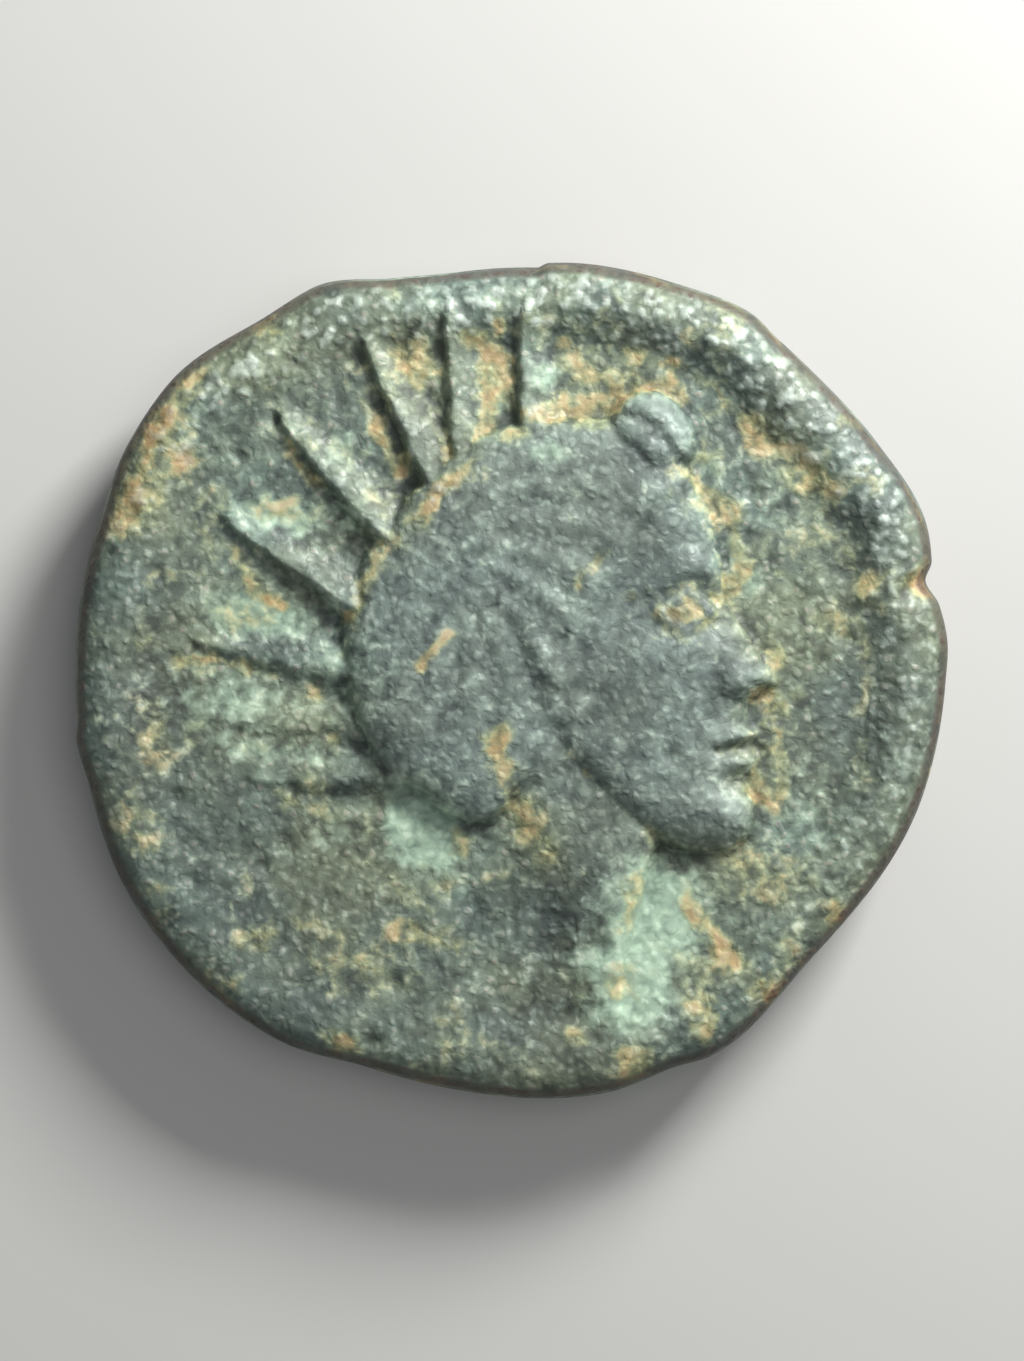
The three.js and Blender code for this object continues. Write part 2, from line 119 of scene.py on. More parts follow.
# Where the random numbers of each pattern start
seeds = {
    "obverseCrust": {"grain": 7, "coarse": 17, "pits": 27},
    "reverseCrust": {"grain": 107, "coarse": 117, "pits": 127},
    "edgeWaver": 5,
    "swell": 47,
    "wander": (51, 52),
    "corners": 61,
    "film": 66,
    "earth": 71,
    "verdigris": 81,
    "tarnishAndShade": 91,
    "reverseEarth": 161,
    "reverseVerdigris": 171,
    "reverseTarnish": 181,
    "sideEarth": 261,
    "sideVerdigris": 271,
    "sideBare": 281,
    "depositWander": (5, 6),  # after each deposit's own
}


def softNoise(x, y, spacing, seed):
    # Gradient noise: a random slope at every lattice point, blended by a quintic curve, about -1 to 1
    count = int(2 * noiseReach / spacing) + 3
    slope = np.random.default_rng(seed).uniform(0, 2 * np.pi, (count, count))
    gx, gy = (x + noiseReach) / spacing, (y + noiseReach) / spacing
    ix, iy = np.floor(gx).astype(int), np.floor(gy).astype(int)
    tx, ty = gx - ix, gy - iy
    corners = []
    for jy in (0, 1):
        for jx in (0, 1):
            angle = slope[iy + jy, ix + jx]
            corners.append(np.cos(angle) * (tx - jx) + np.sin(angle) * (ty - jy))
    sx, sy = (t * t * t * (t * (6 * t - 15) + 10) for t in (tx, ty))
    return 1.5 * mix(mix(corners[0], corners[1], sx), mix(corners[2], corners[3], sx), sy)


def cloudNoise(x, y, spacing, seed, octaves=4):
    # Soft noise, with finer copies that each have half the height and half the spacing
    layers = [softNoise(x, y, spacing / 2**k, seed + k) / 2**k for k in range(octaves)]
    return sum(layers) / sum(0.5**k for k in range(octaves))


def patches(x, y, patch, seed):
    # Patches of noise: none up to one level of the noise, and whole from another, with an S-shaped run
    noise = cloudNoise(x, y, patch["size"], seed, patch["octaves"])
    return patch["most"] * smooth(noise, *patch["between"])


def domes(x, y, spacing, reach, share, seed):
    # One bell-shaped dome at a random place in each square cell, of its own height from 0 to 1. Only a share
    # of the cells has one, and its reach is a share of the cell.
    draw = np.random.default_rng(seed)
    count = int(2 * noiseReach / spacing) + 4
    px, py, own = (draw.uniform(0, 1, (count, count)) for _ in range(3))
    tall = np.clip((own - 1 + share) / share, 0, 1)
    gx, gy = (x + noiseReach) / spacing + 1, (y + noiseReach) / spacing + 1
    ix, iy = np.floor(gx).astype(int), np.floor(gy).astype(int)
    height = np.zeros(x.shape)
    for jy in (-1, 0, 1):
        for jx in (-1, 0, 1):
            cx, cy = ix + jx, iy + jy
            away = ((cx + px[cy, cx] - gx) ** 2 + (cy + py[cy, cx] - gy) ** 2) / reach**2
            height += tall[cy, cx] * np.exp(-away)
    return height


def blurred(field, spread):
    # Each value of a square grid becomes the mean of those around it, by a bell-shaped weight. The spread is
    # in grid steps.
    reach = int(3 * spread)
    weights = np.exp(-((np.arange(-reach, reach + 1) / spread) ** 2) / 2)
    weights /= weights.sum()
    for axis in (0, 1):
        padded = np.pad(field, [(reach, reach) if a == axis else (0, 0) for a in (0, 1)], mode="edge")
        length = field.shape[axis]
        field = sum(w * np.take(padded, range(k, k + length), axis=axis) for k, w in enumerate(weights))
    return field


# The flan: a cast blank with an uneven edge.
flan = {
    "width": 18.0,
    "length": 17.25,
    "coreThickness": 1.9,
    "taper": 0.25,  # smaller all round at the reverse
    "obverseRound": 0.6,
    "reverseRound": 0.5,
    "faceShare": 0.8,  # the share of the rounding that belongs to the face
    "edgeWaver": 0.035,  # hammer and casting marks on the side
    "edgeWaverSpacing": 1.1,
    "edgeStretch": 3,  # the marks run this much longer round the edge than up it
    "bareEdge": (0.08, 0.34),  # the crust is chipped this far in, and whole from here
    # bearing in degrees from the right, and distance
    "knots": [
        (0, 8.95), (5, 9.02), (10, 8.95), (13.5, 8.77), (16, 9), (22, 9.13), (33, 8.97),
        (45, 8.9), (52, 8.93), (57, 9.04), (67.5, 8.85), (85, 8.64), (86.5, 8.53), (97, 8.51),
        (106, 8.65), (117, 9.07), (123, 9.05), (139, 9.34), (148, 9.29), (160, 9.06), (185, 8.97),
        (188, 9.05), (194, 8.96), (208, 9.01), (236, 8.88), (250, 8.51), (256, 8.48), (284, 8.73),
        (292, 8.66), (298, 8.77), (317, 8.44), (345, 8.8),
    ],
}


def knotRadius(bearing):
    # Distance to the edge in a direction in degrees: a cubic between knots, with slopes that never overshoot
    degrees, radius = np.array(flan["knots"]).T
    gap = np.mod(np.roll(degrees, -1) - degrees, 360)
    grade = (np.roll(radius, -1) - radius) / gap
    before = np.roll(grade, 1)
    product = np.where(before * grade > 0, before * grade, 0)
    slope = 2 * product / np.where(product > 0, before + grade, 1)
    bearing = np.mod(bearing, 360)
    i = np.searchsorted(degrees, bearing, side="right") - 1
    n = (i + 1) % len(degrees)
    t = (bearing - degrees[i]) / gap[i]
    return (
        radius[i] * (1 + 2 * t) * (1 - t) ** 2
        + radius[n] * t * t * (3 - 2 * t)
        + gap[i] * (slope[i] * t * (1 - t) ** 2 - slope[n] * t * t * (1 - t))
    )


allRound = np.arange(0, 360, 0.5)
roundX = knotRadius(allRound) * np.cos(np.radians(allRound))
roundY = knotRadius(allRound) * np.sin(np.radians(allRound))


def edgePoint(direction, inset):
    # Where the edge lies in a direction, taken in by the inset, with the outline's box centred and to size
    radius = knotRadius(np.degrees(direction)) - inset
    return (
        (radius * np.cos(direction) - (roundX.max() + roundX.min()) / 2) * flan["width"] / np.ptp(roundX),
        (radius * np.sin(direction) - (roundY.max() + roundY.min()) / 2) * flan["length"] / np.ptp(roundY),
    )


# The rim, a worn ridge that is highest at the upper right.
rim = {
    "rise": 0.3,
    "crest": 0.75,  # how far in its highest line lies
    "band": 1.75,  # and where it ends
    "foot": 0.3,  # it would start this far outside the edge
    "highBearing": 45,
    "lowShare": 0.15,  # of the rise is left on the far side
    "reliefStart": 0.1,  # the struck design starts this far in from the edge
    "reliefFull": 0.9,  # and is whole from here
    "leastWearAndGlints": 0.3,  # share of its grains painted pale at the bottom, as rubbed crust and painted glints
    "mostWearAndGlints": 0.9,  # and at the top, nearest the light
    "wearBetween": (0.5, 4.5),  # the heights on the coin between which it changes
    "coarseRise": 0.25,  # the crust is coarse where the rim stands this high
    "coarseShare": 0.7,  # of its band
}

# The split at the edge runs on as a crack in the face.
crack = {
    "bearing": 13.4,
    "length": 1.5,
    "mouth": 0.3,
    "depth": 0.16,
}

# The head and its rays. The carving is in shares of the head's height, from its middle, facing +x.
head = {
    "height": 9.3,
    "centre": (0.55, 0.75),
    "tilt": 7,  # degrees, looking up
    "rise": 0.58,
    "shoulder": 1.5,  # the rise is whole from this far inside the outline
    "foot": 0.14,  # and runs out this far beyond it
    "formsStart": 0.3,  # the forms below are whole from this far in
    "hairRise": 0.07,
    "knotRise": 0.64,
    "knotShoulder": 0.8,
    "groovesStart": 0.2,
    "neckRise": 0.4,
    "neckShoulder": 0.9,
    "neckLean": 2.2,  # over which the neck rises from its back
    "neckBackShare": 0.2,  # of the rise is left there
    "fillet": 0.06,
    "wornTop": 0.78,  # nothing of the design stands higher
    "outline": [
        (0.34, 0.41), (0.385, 0.32), (0.415, 0.22), (0.425, 0.115), (0.423, 0.06), (0.458, -0.035),
        (0.505, -0.125), (0.498, -0.158), (0.443, -0.18), (0.434, -0.215), (0.455, -0.25),
        (0.434, -0.281), (0.447, -0.314), (0.416, -0.355), (0.432, -0.41), (0.415, -0.47), (0.34, -0.505),
        (0.22, -0.475), (0.12, -0.41), (0.03, -0.33), (-0.06, -0.33), (-0.15, -0.38), (-0.24, -0.36),
        (-0.3, -0.3), (-0.365, -0.25), (-0.41, -0.17), (-0.432, -0.05), (-0.43, 0.07), (-0.38, 0.2),
        (-0.29, 0.32), (-0.18, 0.42), (-0.04, 0.48), (0.12, 0.49), (0.25, 0.465),
    ],
    "knot": [
        (0.205, 0.46), (0.195, 0.385), (0.24, 0.325), (0.32, 0.32), (0.385, 0.37), (0.39, 0.45),
        (0.335, 0.515), (0.255, 0.515),
    ],
    "neck": [
        (0.21, -0.42), (0.175, -0.54), (0.135, -0.64), (0.1, -0.75), (0.075, -0.84), (0.02, -0.88),
        (-0.045, -0.85), (-0.1, -0.76), (-0.16, -0.64), (-0.215, -0.5), (-0.24, -0.36), (-0.15, -0.2),
        (0.1, -0.2),
    ],
    "neckBack": [(-0.26, -0.3), (0, -0.9)],
}

# A dome has its middle, its reach both ways and a turn; a stroke has a path and a width. Rises are in mm.
headForms = [
    # hair roll
    {"path": [(0.35, 0.33), (0.24, 0.24), (0.13, 0.1), (0.06, -0.06)], "width": 0.045, "rise": 0.09},
    {"at": (0.25, 0.12), "reach": (0.05, 0.1), "turn": -30, "rise": -0.08},  # temple
    {"path": [(0.42, 0.105), (0.35, 0.135), (0.26, 0.105)], "width": 0.03, "rise": 0.11},  # brow
    {"at": (0.335, 0.04), "reach": (0.08, 0.055), "turn": 8, "rise": -0.26},  # eye socket
    {"at": (0.325, 0.035), "reach": (0.038, 0.03), "turn": 0, "rise": 0.22},  # eyeball
    {"path": [(0.38, 0.03), (0.335, 0.075), (0.27, 0.04)], "width": 0.016, "rise": 0.13},  # upper lid
    {"path": [(0.375, 0.02), (0.325, -0.008), (0.275, 0.02)], "width": 0.015, "rise": 0.08},  # and lower
    {"at": (0.23, -0.12), "reach": (0.14, 0.11), "turn": 20, "rise": 0.12},  # cheek
    {"at": (0.42, -0.14), "reach": (0.034, 0.03), "turn": 0, "rise": 0.14},  # wing of the nose
    {"path": [(0.385, -0.09), (0.373, -0.16), (0.35, -0.2)], "width": 0.02, "rise": -0.07},  # and its groove
    {"at": (0.415, -0.252), "reach": (0.036, 0.02), "turn": 5, "rise": 0.08},  # upper lip
    {"at": (0.41, -0.312), "reach": (0.034, 0.02), "turn": 0, "rise": 0.08},  # lower lip
    {"path": [(0.46, -0.281), (0.36, -0.278)], "width": 0.015, "rise": -0.15},  # mouth
    {"at": (0.39, -0.358), "reach": (0.04, 0.022), "turn": 0, "rise": -0.09},  # under the lip
    {"at": (0.38, -0.425), "reach": (0.06, 0.055), "turn": 0, "rise": 0.12},  # chin
    {"path": [(0.02, 0.08), (-0.02, 0.03), (0, -0.04), (0.03, -0.08)], "width": 0.025, "rise": 0.07},  # ear
    {"path": [(0.28, -0.44), (0.14, -0.37), (0.05, -0.22)], "width": 0.06, "rise": 0.06},  # jaw
    {"path": [(0.015, -0.2), (0.06, -0.34), (0.18, -0.49)], "width": 0.035, "rise": -0.16},  # behind it
]

# Worn grooves between the locks of the knot.
knotForms = [
    {"path": [(0.19, 0.43), (0.26, 0.4), (0.3, 0.33)], "width": 0.013, "rise": -0.07},
    {"path": [(0.22, 0.49), (0.31, 0.44), (0.36, 0.34)], "width": 0.013, "rise": -0.07},
    {"path": [(0.3, 0.52), (0.36, 0.47), (0.39, 0.41)], "width": 0.013, "rise": -0.06},
]

# Close hair in strands that run out from the crown.
hair = {
    "crown": (-0.24, 0.22),
    "bare": 0.05,  # no strands are left this close to the crown
    "full": 0.25,  # and they are whole from here
    "edge": 0.03,
    "count": 22,  # strands all round
    "bend": 1.4,  # turn in radians over the head's height
    "rise": 0.018,
    "hairline": [
        (0.45, 0.33), (0.33, 0.29), (0.23, 0.19), (0.13, 0.07), (0.06, -0.08), (0, -0.22), (-0.3, -0.5),
        (-0.8, -0.5), (-0.8, 0.9), (0.5, 0.9),
    ],
}

rays = {
    "rise": 0.42,
    "tipShare": 0.45,  # of the height and width is left at the tip
    "longSide": 1.15,
    "wear": 0.55,  # share of the grains on top that are painted pale, as rubbed crust and painted glints
    "wearBetween": (0.15, 0.35),  # heights between which this comes in
    # tip and root: bearing in degrees and share of the head's height from its middle; then the share of the
    # height that is left, and the width of the steep side
    "places": [
        ((86, 0.72), (86.5, 0.45), 0.9, 0.36),
        ((98.5, 0.75), (108, 0.42), 0.8, 0.36),
        ((113.2, 0.755), (117.5, 0.4), 1, 0.38),
        ((132.2, 0.74), (139, 0.4), 1, 0.38),
        ((151.5, 0.728), (162, 0.41), 1, 0.42),
        ((173, 0.73), (181.5, 0.42), 0.65, 0.6),
        ((186, 0.72), (198, 0.43), 0.35, 0.7),
        ((199, 0.68), (214.5, 0.43), 0.6, 0.65),
    ],
}

# Corrosion crust, wear and dents that the solid leaves to this mesh.
surface = {
    "grainSize": 0.21,  # grains of crust
    "grainReach": 0.45,  # share of that size
    "grainRise": 0.022,
    "rimGrainRise": 0.048,  # along the crest of the rim, where the crust is coarse
    "coarseSize": 0.6,
    "coarseRise": 0.028,
    "swellSize": 2.6,  # uneven field
    "swellRise": 0.05,
    "swellEdge": 1.5,  # whole from this far in
    "wanderSize": 0.8,  # corroded outlines wander
    "wander": 0.09,
    "pitSize": 0.75,
    "pitReach": 0.25,  # share of that size
    "pitShare": 0.3,  # of the places have a pit
    "pitDepth": 0.08,
    "wornAway": 0.5,  # share of the crust that wear takes off
    "smoothBetween": (0.2, 0.55),  # heights of the design between which wear has smoothed it
    "rubbedAndGlintGrains": (0.2, 0.8),  # heights of the grains between which they are painted pale, as rubbed crust and painted glints
    "hollowReach": 3.5,  # in cells of the obverse
    "earthThickness": 0.02,
}


def pillow(depth, reach):
    # Steep at the outline, level further in, and running out softly at its foot: 1 less the cube of what is
    # left of the way in
    foot = head["foot"]
    share = np.clip((depth + foot) / (reach + foot), 0, 1)
    return (1 - (1 - share) ** 3) * smooth(depth, -foot, foot)


def blend(a, b, size):
    # The higher of two surfaces, with a fillet where they meet
    near = np.maximum(size - np.abs(a - b), 0) / size
    return np.maximum(a, b) + size * near * near / 4


def formRise(form, x, y):
    # A bell-shaped dome, or a stroke with a bell-shaped section
    if "path" in form:
        return form["rise"] * np.exp(-((distanceToPath(x, y, form["path"]) / form["width"]) ** 2))
    dx, dy = turned(x - form["at"][0], y - form["at"][1], -form["turn"])
    return form["rise"] * np.exp(-((dx / form["reach"][0]) ** 2) - (dy / form["reach"][1]) ** 2)


def hairRise(hx, hy):
    # A cap inside the hairline, with strands by the cosine of the direction from the crown, which bends as
    # it runs out
    covered = smooth(insideOutline(hx, hy, closedOutline(hair["hairline"], 2)), 0, hair["edge"])
    dx, dy = hx - hair["crown"][0], hy - hair["crown"][1]
    fromCrown = np.hypot(dx, dy)
    lie = np.arctan2(dy, dx) + hair["bend"] * fromCrown
    strand = smooth(fromCrown, hair["bare"], hair["full"]) * np.cos(hair["count"] * lie)
    return covered * (head["hairRise"] + hair["rise"] * strand)


def rayRise(hx, hy):
    # Each ray falls by an S-shaped run on both sides of its crest, over a short foot on one side and a long
    # one on the other, and shrinks towards its tip. Where rays meet, the highest counts.
    highest = np.zeros(hx.shape)
    for tip, root, left, steepSide in rays["places"]:
        distance, along, side = nearStretch(hx, hy, polar(*root), polar(*tip))
        size = mix(1, rays["tipShare"], along)
        foot = np.where(side > 0, steepSide, rays["longSide"]) * size
        flank = 1 - smooth(distance * head["height"] / foot, 0, 1)
        highest = np.maximum(highest, rays["rise"] * left * size * flank)
    return highest


def figure(x, y):
    # The struck design over the field: head, neck, knot of hair and rays, each blended into the others
    hx, hy = turned(x - head["centre"][0], y - head["centre"][1], -head["tilt"])
    hx, hy = hx / head["height"], hy / head["height"]
    inside = {
        part: insideOutline(hx, hy, closedOutline(head[part])) * head["height"]
        for part in ("outline", "neck", "knot")
    }
    detail = sum(formRise(form, hx, hy) for form in headForms) + hairRise(hx, hy)
    rise = head["rise"] * pillow(inside["outline"], head["shoulder"])
    rise = rise + detail * smooth(inside["outline"], 0, head["formsStart"])
    lean = smooth(distanceToPath(hx, hy, head["neckBack"]) * head["height"], 0, head["neckLean"])
    neckLeft = mix(head["neckBackShare"], 1, lean)
    neck = head["neckRise"] * neckLeft * pillow(inside["neck"], head["neckShoulder"])
    grooves = sum(formRise(form, hx, hy) for form in knotForms)
    knot = head["knotRise"] * pillow(inside["knot"], head["knotShoulder"])
    knot = knot + grooves * smooth(inside["knot"], 0, head["groovesStart"])
    for form in (neck, knot, rayRise(hx, hy)):
        rise = blend(rise, form, head["fillet"])
    return rise, hx, hy


def rimRise(x, y, fromEdge):
    # A ridge with an S-shaped run on both sides of its crest, highest at one bearing by a cosine
    facing = 0.5 + 0.5 * np.cos(np.arctan2(y, x) - math.radians(rim["highBearing"]))
    ridge = smooth(fromEdge, -rim["foot"], rim["crest"]) * (1 - smooth(fromEdge, rim["crest"], rim["band"]))
    return rim["rise"] * mix(rim["lowShare"], 1, facing) * ridge


def crackRise(x, y):
    # A groove with a bell-shaped section, deepest at the edge and run out at its end
    direction = np.array(math.radians(crack["bearing"]))
    mouth, end = edgePoint(direction, 0), edgePoint(direction, crack["length"])
    distance, along, _ = nearStretch(x, y, mouth, end)
    return -crack["depth"] * (1 - along) * np.exp(-((distance / crack["mouth"]) ** 2))


# The reverse, a guess.
star = {
    "rise": 0.36,
    "wornTop": 0.26,  # nothing stands higher, and the coin lies on it
    "centre": (0.25, -0.15),
    "arms": 8,
    "armLength": 5.1,
    "armFoot": 0.75,
    "armTipShare": 0.35,
    "boss": 1.25,
    "bossRise": 0.47,
    "border": 0.5,
    "borderFoot": 1.1,
    "borderRise": 0.29,
    "designStart": 0.4,
    "designFull": 1.2,
}


def reverseRise(x, y, fromEdge):
    # A star with a boss, inside a raised border, all worn down to one plane. An arm falls by an S-shaped run
    # on both sides and with the root of the share of its length that is left, and the boss is bell-shaped.
    dx, dy = x - star["centre"][0], y - star["centre"][1]
    distance, direction = np.hypot(dx, dy), np.arctan2(dy, dx)
    armTurn = 2 * np.pi / star["arms"]
    fromArm = distance * np.sin(np.abs(direction - armTurn * np.round(direction / armTurn)))
    left = np.clip(1 - distance / star["armLength"], 0, 1)
    foot = star["armFoot"] * mix(star["armTipShare"], 1, left)
    arm = star["rise"] * np.sqrt(left) * (1 - smooth(fromArm / foot, 0, 1))
    boss = star["bossRise"] * np.exp(-((distance / star["boss"]) ** 4))
    design = np.maximum(arm, boss) * smooth(fromEdge, star["designStart"], star["designFull"])
    border = star["borderRise"] * (1 - smooth(fromEdge, star["border"], star["borderFoot"]))
    return np.minimum(np.maximum(design, border), star["wornTop"])


# Both faces are grids: a square whose rings are laid out as rings of the coin.


def squareGrid(cells):
    # For each point of a square of side two: how far out it lies, the larger of its two coordinates, and its
    # direction on the coin, which goes evenly with its way along the side of its ring
    line = np.linspace(-1, 1, cells + 1)
    u, v = np.meshgrid(line, line)
    wide = np.abs(u) > np.abs(v)
    with np.errstate(divide="ignore", invalid="ignore"):
        direction = np.where(wide, v / u + np.where(u < 0, 4, 0), 2 - u / v + np.where(v < 0, 4, 0))
    reach = np.maximum(np.abs(u), np.abs(v))
    return reach, np.where(reach == 0, 0, direction * np.pi / 4)


def facePlan(cells, roundSize, taper):
    # Plan of a face, the distance of each point from the edge, and how far the rounding, part of a quarter
    # circle, lowers it
    reach, direction = squareGrid(cells)
    edgeX, edgeY = edgePoint(direction, taper + roundSize * (1 - flan["faceShare"]))
    fromEdge = np.hypot(edgeX, edgeY) * (1 - reach)
    over = flan["faceShare"] * np.clip(1 - fromEdge / (roundSize * flan["faceShare"]), 0, 1)
    return edgeX * reach, edgeY * reach, fromEdge, roundSize * (1 - np.sqrt(1 - over * over))


def gridTriangles(cells, first=0):
    # Two triangles for every square cell of a grid, counter-clockwise as seen from above. Each cell is cut
    # towards the middle of the grid, so that no triangle has all its corners on one ring.
    line = np.arange(cells)
    row, column = (part.ravel() for part in np.meshgrid(line, line, indexing="ij"))
    a = first + row * (cells + 1) + column
    b, c, d = a + 1, a + cells + 1, a + cells + 2
    sameHalf = (row < cells / 2) == (column < cells / 2)
    return np.concatenate([
        np.stack([a, b, np.where(sameHalf, d, c)], 1),
        np.stack([np.where(sameHalf, a, b), d, c], 1),
    ])


def gridLoop(cells, first=0):
    # The outermost points of a grid, counter-clockwise from the lower right corner
    along = np.arange(cells)
    rows = np.concatenate([along, np.full(cells, cells), cells - along, np.zeros(cells, int)])
    columns = np.concatenate([np.full(cells, cells), cells - along, np.zeros(cells, int), along])
    return first + rows * (cells + 1) + columns


def band(above, below):
    # Triangles between two rings with as many points
    nextAbove, nextBelow = np.roll(above, -1), np.roll(below, -1)
    return np.concatenate([
        np.stack([above, below, nextBelow], 1),
        np.stack([above, nextBelow, nextAbove], 1),
    ])


def halvingBand(above, below):
    # Triangles between a ring and one below it with half as many points
    even, odd, nextEven = above[::2], above[1::2], np.roll(above[::2], -1)
    nextBelow = np.roll(below, -1)
    return np.concatenate([
        np.stack([even, below, odd], 1),
        np.stack([odd, below, nextBelow], 1),
        np.stack([odd, nextBelow, nextEven], 1),
    ])


meshSizes = {
    "obverseCells": 264,
    "reverseCells": 132,  # half as many, so that the two join at the side
    "roundSteps": 4,
}

# Earth and corrosion that lie on the coin. A spot has its middle, its reach and a turn; a streak has a path
# and a width. The last number is how thick it lies: thin earth is olive, thicker cream, the thickest a dull
# tan.
earth = {
    "seed": seeds["earth"],
    "spots": [
        ((-6.75, 4.45), (0.4, 0.4), 0, 0.9), ((-6.6, 5.9), (0.6, 0.4), 50, 0.75),
        ((-5.1, 7.3), (0.5, 0.35), -50, 1.0), ((1.6, 6.4), (1.2, 0.8), -10, 0.55),
        ((1.7, 5.35), (0.35, 0.6), 0, 0.75), ((0.8, 5.5), (0.4, 0.3), 0, 0.85),
        ((0.15, 5.0), (0.4, 0.3), 0, 0.65), ((-0.7, 6.95), (0.4, 0.35), 0, 0.8),
        ((-0.25, 7.2), (0.2, 0.5), 0, 0.85), ((-0.45, 5.9), (0.4, 0.6), 0, 0.6),
        ((-2.0, 6.5), (0.45, 0.6), 20, 0.85), ((-3.3, 4.65), (0.6, 0.35), -35, 0.5),
        ((-5.55, 2.5), (0.4, 0.28), -25, 0.62), ((-4.7, 3.5), (0.9, 0.35), -10, 0.5),
        ((3.5, 3.85), (0.55, 0.45), -10, 0.9), ((6.1, 4.1), (0.6, 0.75), 30, 0.9),
        ((5.2, 4.9), (1.0, 0.45), -40, 0.55), ((4.0, 4.5), (0.35, 0.4), 0, 0.5),
        ((2.15, -6.3), (0.35, 0.35), 0, 0.7), ((3.85, -6.8), (0.4, 0.55), 25, 1.2),
        ((2.5, -7.8), (0.55, 0.5), 20, 0.8), ((4.7, -3.7), (0.5, 0.4), 0, 0.7),
        ((-5.2, -5.2), (0.55, 0.45), 0, 0.65), ((1.25, -7.2), (0.35, 0.3), 0, 0.6),
        ((-4.6, -2.45), (0.3, 0.28), 0, 0.8), ((-3.45, -7.4), (0.45, 0.35), -20, 0.75),
        ((-1.1, -3.3), (0.3, 0.35), 0, 0.7), ((-3.95, -0.2), (0.28, 0.24), 0, 0.7),
        ((-3.65, -1.3), (0.28, 0.26), 0, 0.65), ((-7.5, 1.0), (0.4, 0.5), 0, 0.5),
        ((3.75, 1.55), (0.9, 0.6), 10, 0.7), ((6.55, 1.25), (0.5, 0.5), 0, 0.5),
        ((-7.3, -1.2), (0.5, 0.8), 0, 0.5), ((-5.9, -6.2), (0.5, 0.4), 0, 0.5),
        ((7.2, -1.8), (0.6, 0.7), 0, 0.35), ((-2.2, -6.2), (0.8, 0.4), 10, 0.5),
        ((-7.6, -3.0), (0.6, 1.4), 20, 0.42), ((-5.4, 1.4), (0.9, 0.32), -6, 0.62),
        ((5.0, -4.0), (1.2, 0.7), -20, 0.6), ((0.9, 7.3), (1.8, 0.5), -8, 0.4),
        ((-3.2, -5.8), (1.6, 0.8), 0, 0.4), ((6.5, 2.9), (0.9, 1.1), 0, 0.35),
    ],
    "streaks": [
        ([(-7.0, 5.3), (-7.3, 4.5), (-7.75, 3.4)], 0.5, 1.1),
        ([(-2.7, 5.2), (-2.2, 4.3)], 0.2, 0.9),
        ([(-4.5, 4.75), (-4.0, 4.1)], 0.2, 0.85),
        ([(-5.4, 2.3), (-5.2, 1.9), (-4.75, 1.55)], 0.2, 0.95),
        ([(-3.2, 1.3), (-2.65, 2.3), (-2.2, 3.05), (-1.4, 3.85), (-0.8, 4.25)], 0.28, 0.8),
        ([(0.3, 5.5), (1.0, 5.6), (2.0, 5.6)], 0.28, 0.75),
        ([(-0.36, -1.1), (-0.2, -1.8)], 0.32, 1.1),
        ([(-0.2, -1.8), (0.3, -2.75), (0.65, -3.5)], 0.45, 0.65),
        ([(1.9, 2.7), (1.45, 1.9)], 0.18, 0.7),
        ([(-1.75, 0.3), (-1.35, 0.95)], 0.16, 0.65),
        ([(2.5, -4.1), (2.3, -4.9)], 0.28, 0.8),
        ([(3.6, -4.4), (3.95, -5.15), (4.5, -5.8)], 0.3, 0.8),
        ([(4.5, -5.8), (5.4, -6.4)], 0.38, 0.7),
        ([(6.15, -4.1), (6.7, -4.95)], 0.26, 0.65),
        ([(-2.4, -5.05), (-1.1, -5.3)], 0.28, 0.6),
        ([(-6.9, 0.45), (-5.4, 0.3)], 0.14, 0.7),
        ([(6.7, 5.3), (7.1, 5.15)], 0.14, 0.8),
        ([(7.2, 1.85), (8.6, 2.15)], 0.32, 0.85),
        ([(5.25, -0.2), (5.45, -1.2), (5.4, -2.4)], 0.4, 0.55),
        ([(4.2, 3.4), (4.75, 2.3)], 0.28, 0.65),
    ],
}

# Pale green copper carbonate, a thin powder on the flat of the field.
verdigris = {
    "seed": seeds["verdigris"],
    "spots": [
        ((-5.8, -0.45), (1.2, 0.8), 10, 0.5), ((-1.85, -3.05), (0.6, 0.85), 25, 2.0),
        ((2.95, -4.75), (0.95, 1.0), 0, 1.6), ((2.4, -6.0), (0.85, 1.1), 0, 1.5),
        ((-4.9, 3.4), (0.9, 0.32), -10, 1.0), ((-5.2, 1.35), (1.0, 0.36), -10, 1.2),
        ((-0.35, 5.8), (0.3, 0.4), 0, 0.8), ((0.75, 6.2), (0.25, 0.4), 0, 0.9),
        ((0.6, 4.7), (0.5, 0.3), 0, 0.7), ((-3.4, 0.1), (0.8, 1.0), 20, 0.45),
        ((-3.4, 3.4), (0.5, 0.5), 0, 0.5), ((4.0, 4.45), (0.3, 0.3), 0, 0.7),
        ((-3.3, 4.8), (0.5, 0.4), -30, 0.6), ((5.8, -2.4), (0.9, 1.2), 20, 0.3),
        ((6.4, 1.0), (0.8, 1.2), 0, 0.2), ((5.2, 4.0), (0.9, 0.7), -30, 0.25),
        ((-3.5, -3.1), (0.8, 0.3), 10, 0.35),
    ],
    "streaks": [
        ([(4.5, 2.7), (4.8, 2.0)], 0.3, 0.6),
        ([(-4.0, -1.5), (-5.6, -1.4)], 0.25, 0.5),
    ],
}
